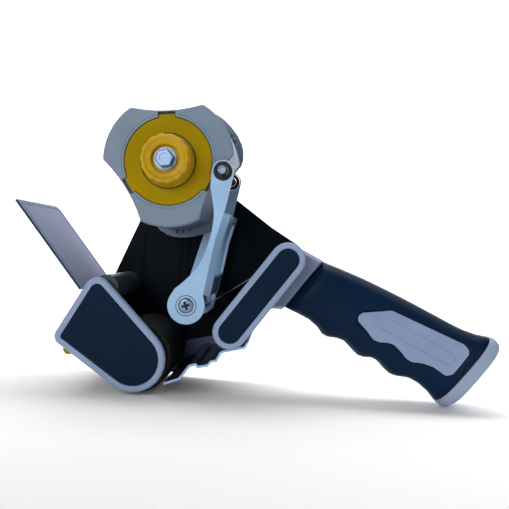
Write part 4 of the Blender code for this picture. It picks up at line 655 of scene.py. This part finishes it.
def studio():
    """A pale floor that curves up behind the object."""
    profile = [(FRONT_EDGE, 0)]
    for i in range(BEND_STEPS + 1):
        t = math.radians(90 * i / BEND_STEPS)
        profile.append((BACK_EDGE - BEND + BEND * math.sin(t), BEND - BEND * math.cos(t)))
    profile.append((BACK_EDGE, WALL_TOP))
    bm = bmesh.new()
    left, right = ([bm.verts.new((side, y, z)) for y, z in profile]
                   for side in (-HALF_WIDTH, HALF_WIDTH))
    for i in range(len(profile) - 1):
        bm.faces.new((left[i], left[i + 1], right[i + 1], right[i]))
    floor = new_piece("backdrop", bm)
    floor.data.shade_smooth()
    paper = Finish("backdrop_paper")
    paper.tone((0.90, 0.90, 0.90), (0.93, 0.93, 0.93), paper.noise(3, detail=2))
    paper.specular(0.1)
    paper.shader.inputs["Roughness"].default_value = 0.9
    floor.data.materials.append(paper.material)


def area_light(name, place, target, size, power, colour):
    """A square light that faces a target."""
    light = bpy.data.lights.new(name, "AREA")
    light.size = size
    light.energy = power
    light.color = colour
    lamp = bpy.data.objects.new(name, light)
    lamp.location = place
    way = Vector(target) - Vector(place)
    lamp.rotation_euler = way.to_track_quat("-Z", "Y").to_euler()
    bpy.context.scene.collection.objects.link(lamp)


# Name, place, target, size in metres, power in watts, colour: a large soft light in front at the
# left, a weak fill at the right, a little light from above, and light on the backdrop
MIDDLE = (0, 0, 0.08)
LIGHTS = (
    ("key", (-0.7, -1.4, 0.55), MIDDLE, 0.9, 15, (1.0, 0.99, 0.97)),
    ("fill", (1.2, -1.1, 0.3), MIDDLE, 0.8, 3.5, (0.94, 0.97, 1.0)),
    ("top", (-0.1, 0.1, 1.6), MIDDLE, 1.2, 1.5, (1, 1, 1)),
    ("back_wall", (0.0, 0.5, 1.3), (0, 1.6, 0.5), 1.6, 45, (1, 1, 1)),
)
SKY_COLOUR = (0.90, 0.95, 1.0, 1)
SKY_STRENGTH = 0.2


def lights():
    """The square lights, and a faint sky."""
    for light in LIGHTS:
        area_light(*light)
    world = bpy.data.worlds.new("studio")
    world.use_nodes = True
    sky = world.node_tree.nodes["Background"]
    sky.inputs["Color"].default_value = SKY_COLOUR
    sky.inputs["Strength"].default_value = SKY_STRENGTH
    bpy.context.scene.world = world


# The camera as the photograph's edges and circles say: the directions in the frame of its
# picture's right and, roughly, its top, its place from the middle of the hub's face, and its lens
# with the sensor's width, both in millimetres
CAMERA_RIGHT = (0.99695, 0.04685, 0.06239)
CAMERA_UPWARD = (-0.06279, 0.00715, 0.99800)
CAMERA_FROM_HUB = (0.06893, -0.3552, -0.0465)
CAMERA_LENS = 44.49
SENSOR = 36
NEAR_CLIP = 0.02


def camera():
    """The camera, placed and turned as in the photograph."""
    right = Vector(CAMERA_RIGHT).normalized()
    back = right.cross(Vector(CAMERA_UPWARD)).normalized()
    up = back.cross(right).normalized()
    lens = bpy.data.cameras.new("camera")
    lens.sensor_width = SENSOR
    lens.lens = CAMERA_LENS
    lens.clip_start = NEAR_CLIP
    eye = bpy.data.objects.new("camera", lens)
    place = Vector((HUB_X, HUB_FACE, HUB_Z)) + Vector(CAMERA_FROM_HUB)
    eye.matrix_world = Matrix((
        (right.x, up.x, back.x, place.x), (right.y, up.y, back.y, place.y),
        (right.z, up.z, back.z, place.z), (0, 0, 0, 1)))
    bpy.context.scene.collection.objects.link(eye)
    bpy.context.scene.camera = eye


studio()
lights()
camera()
bpy.context.scene.view_settings.view_transform = "Standard"
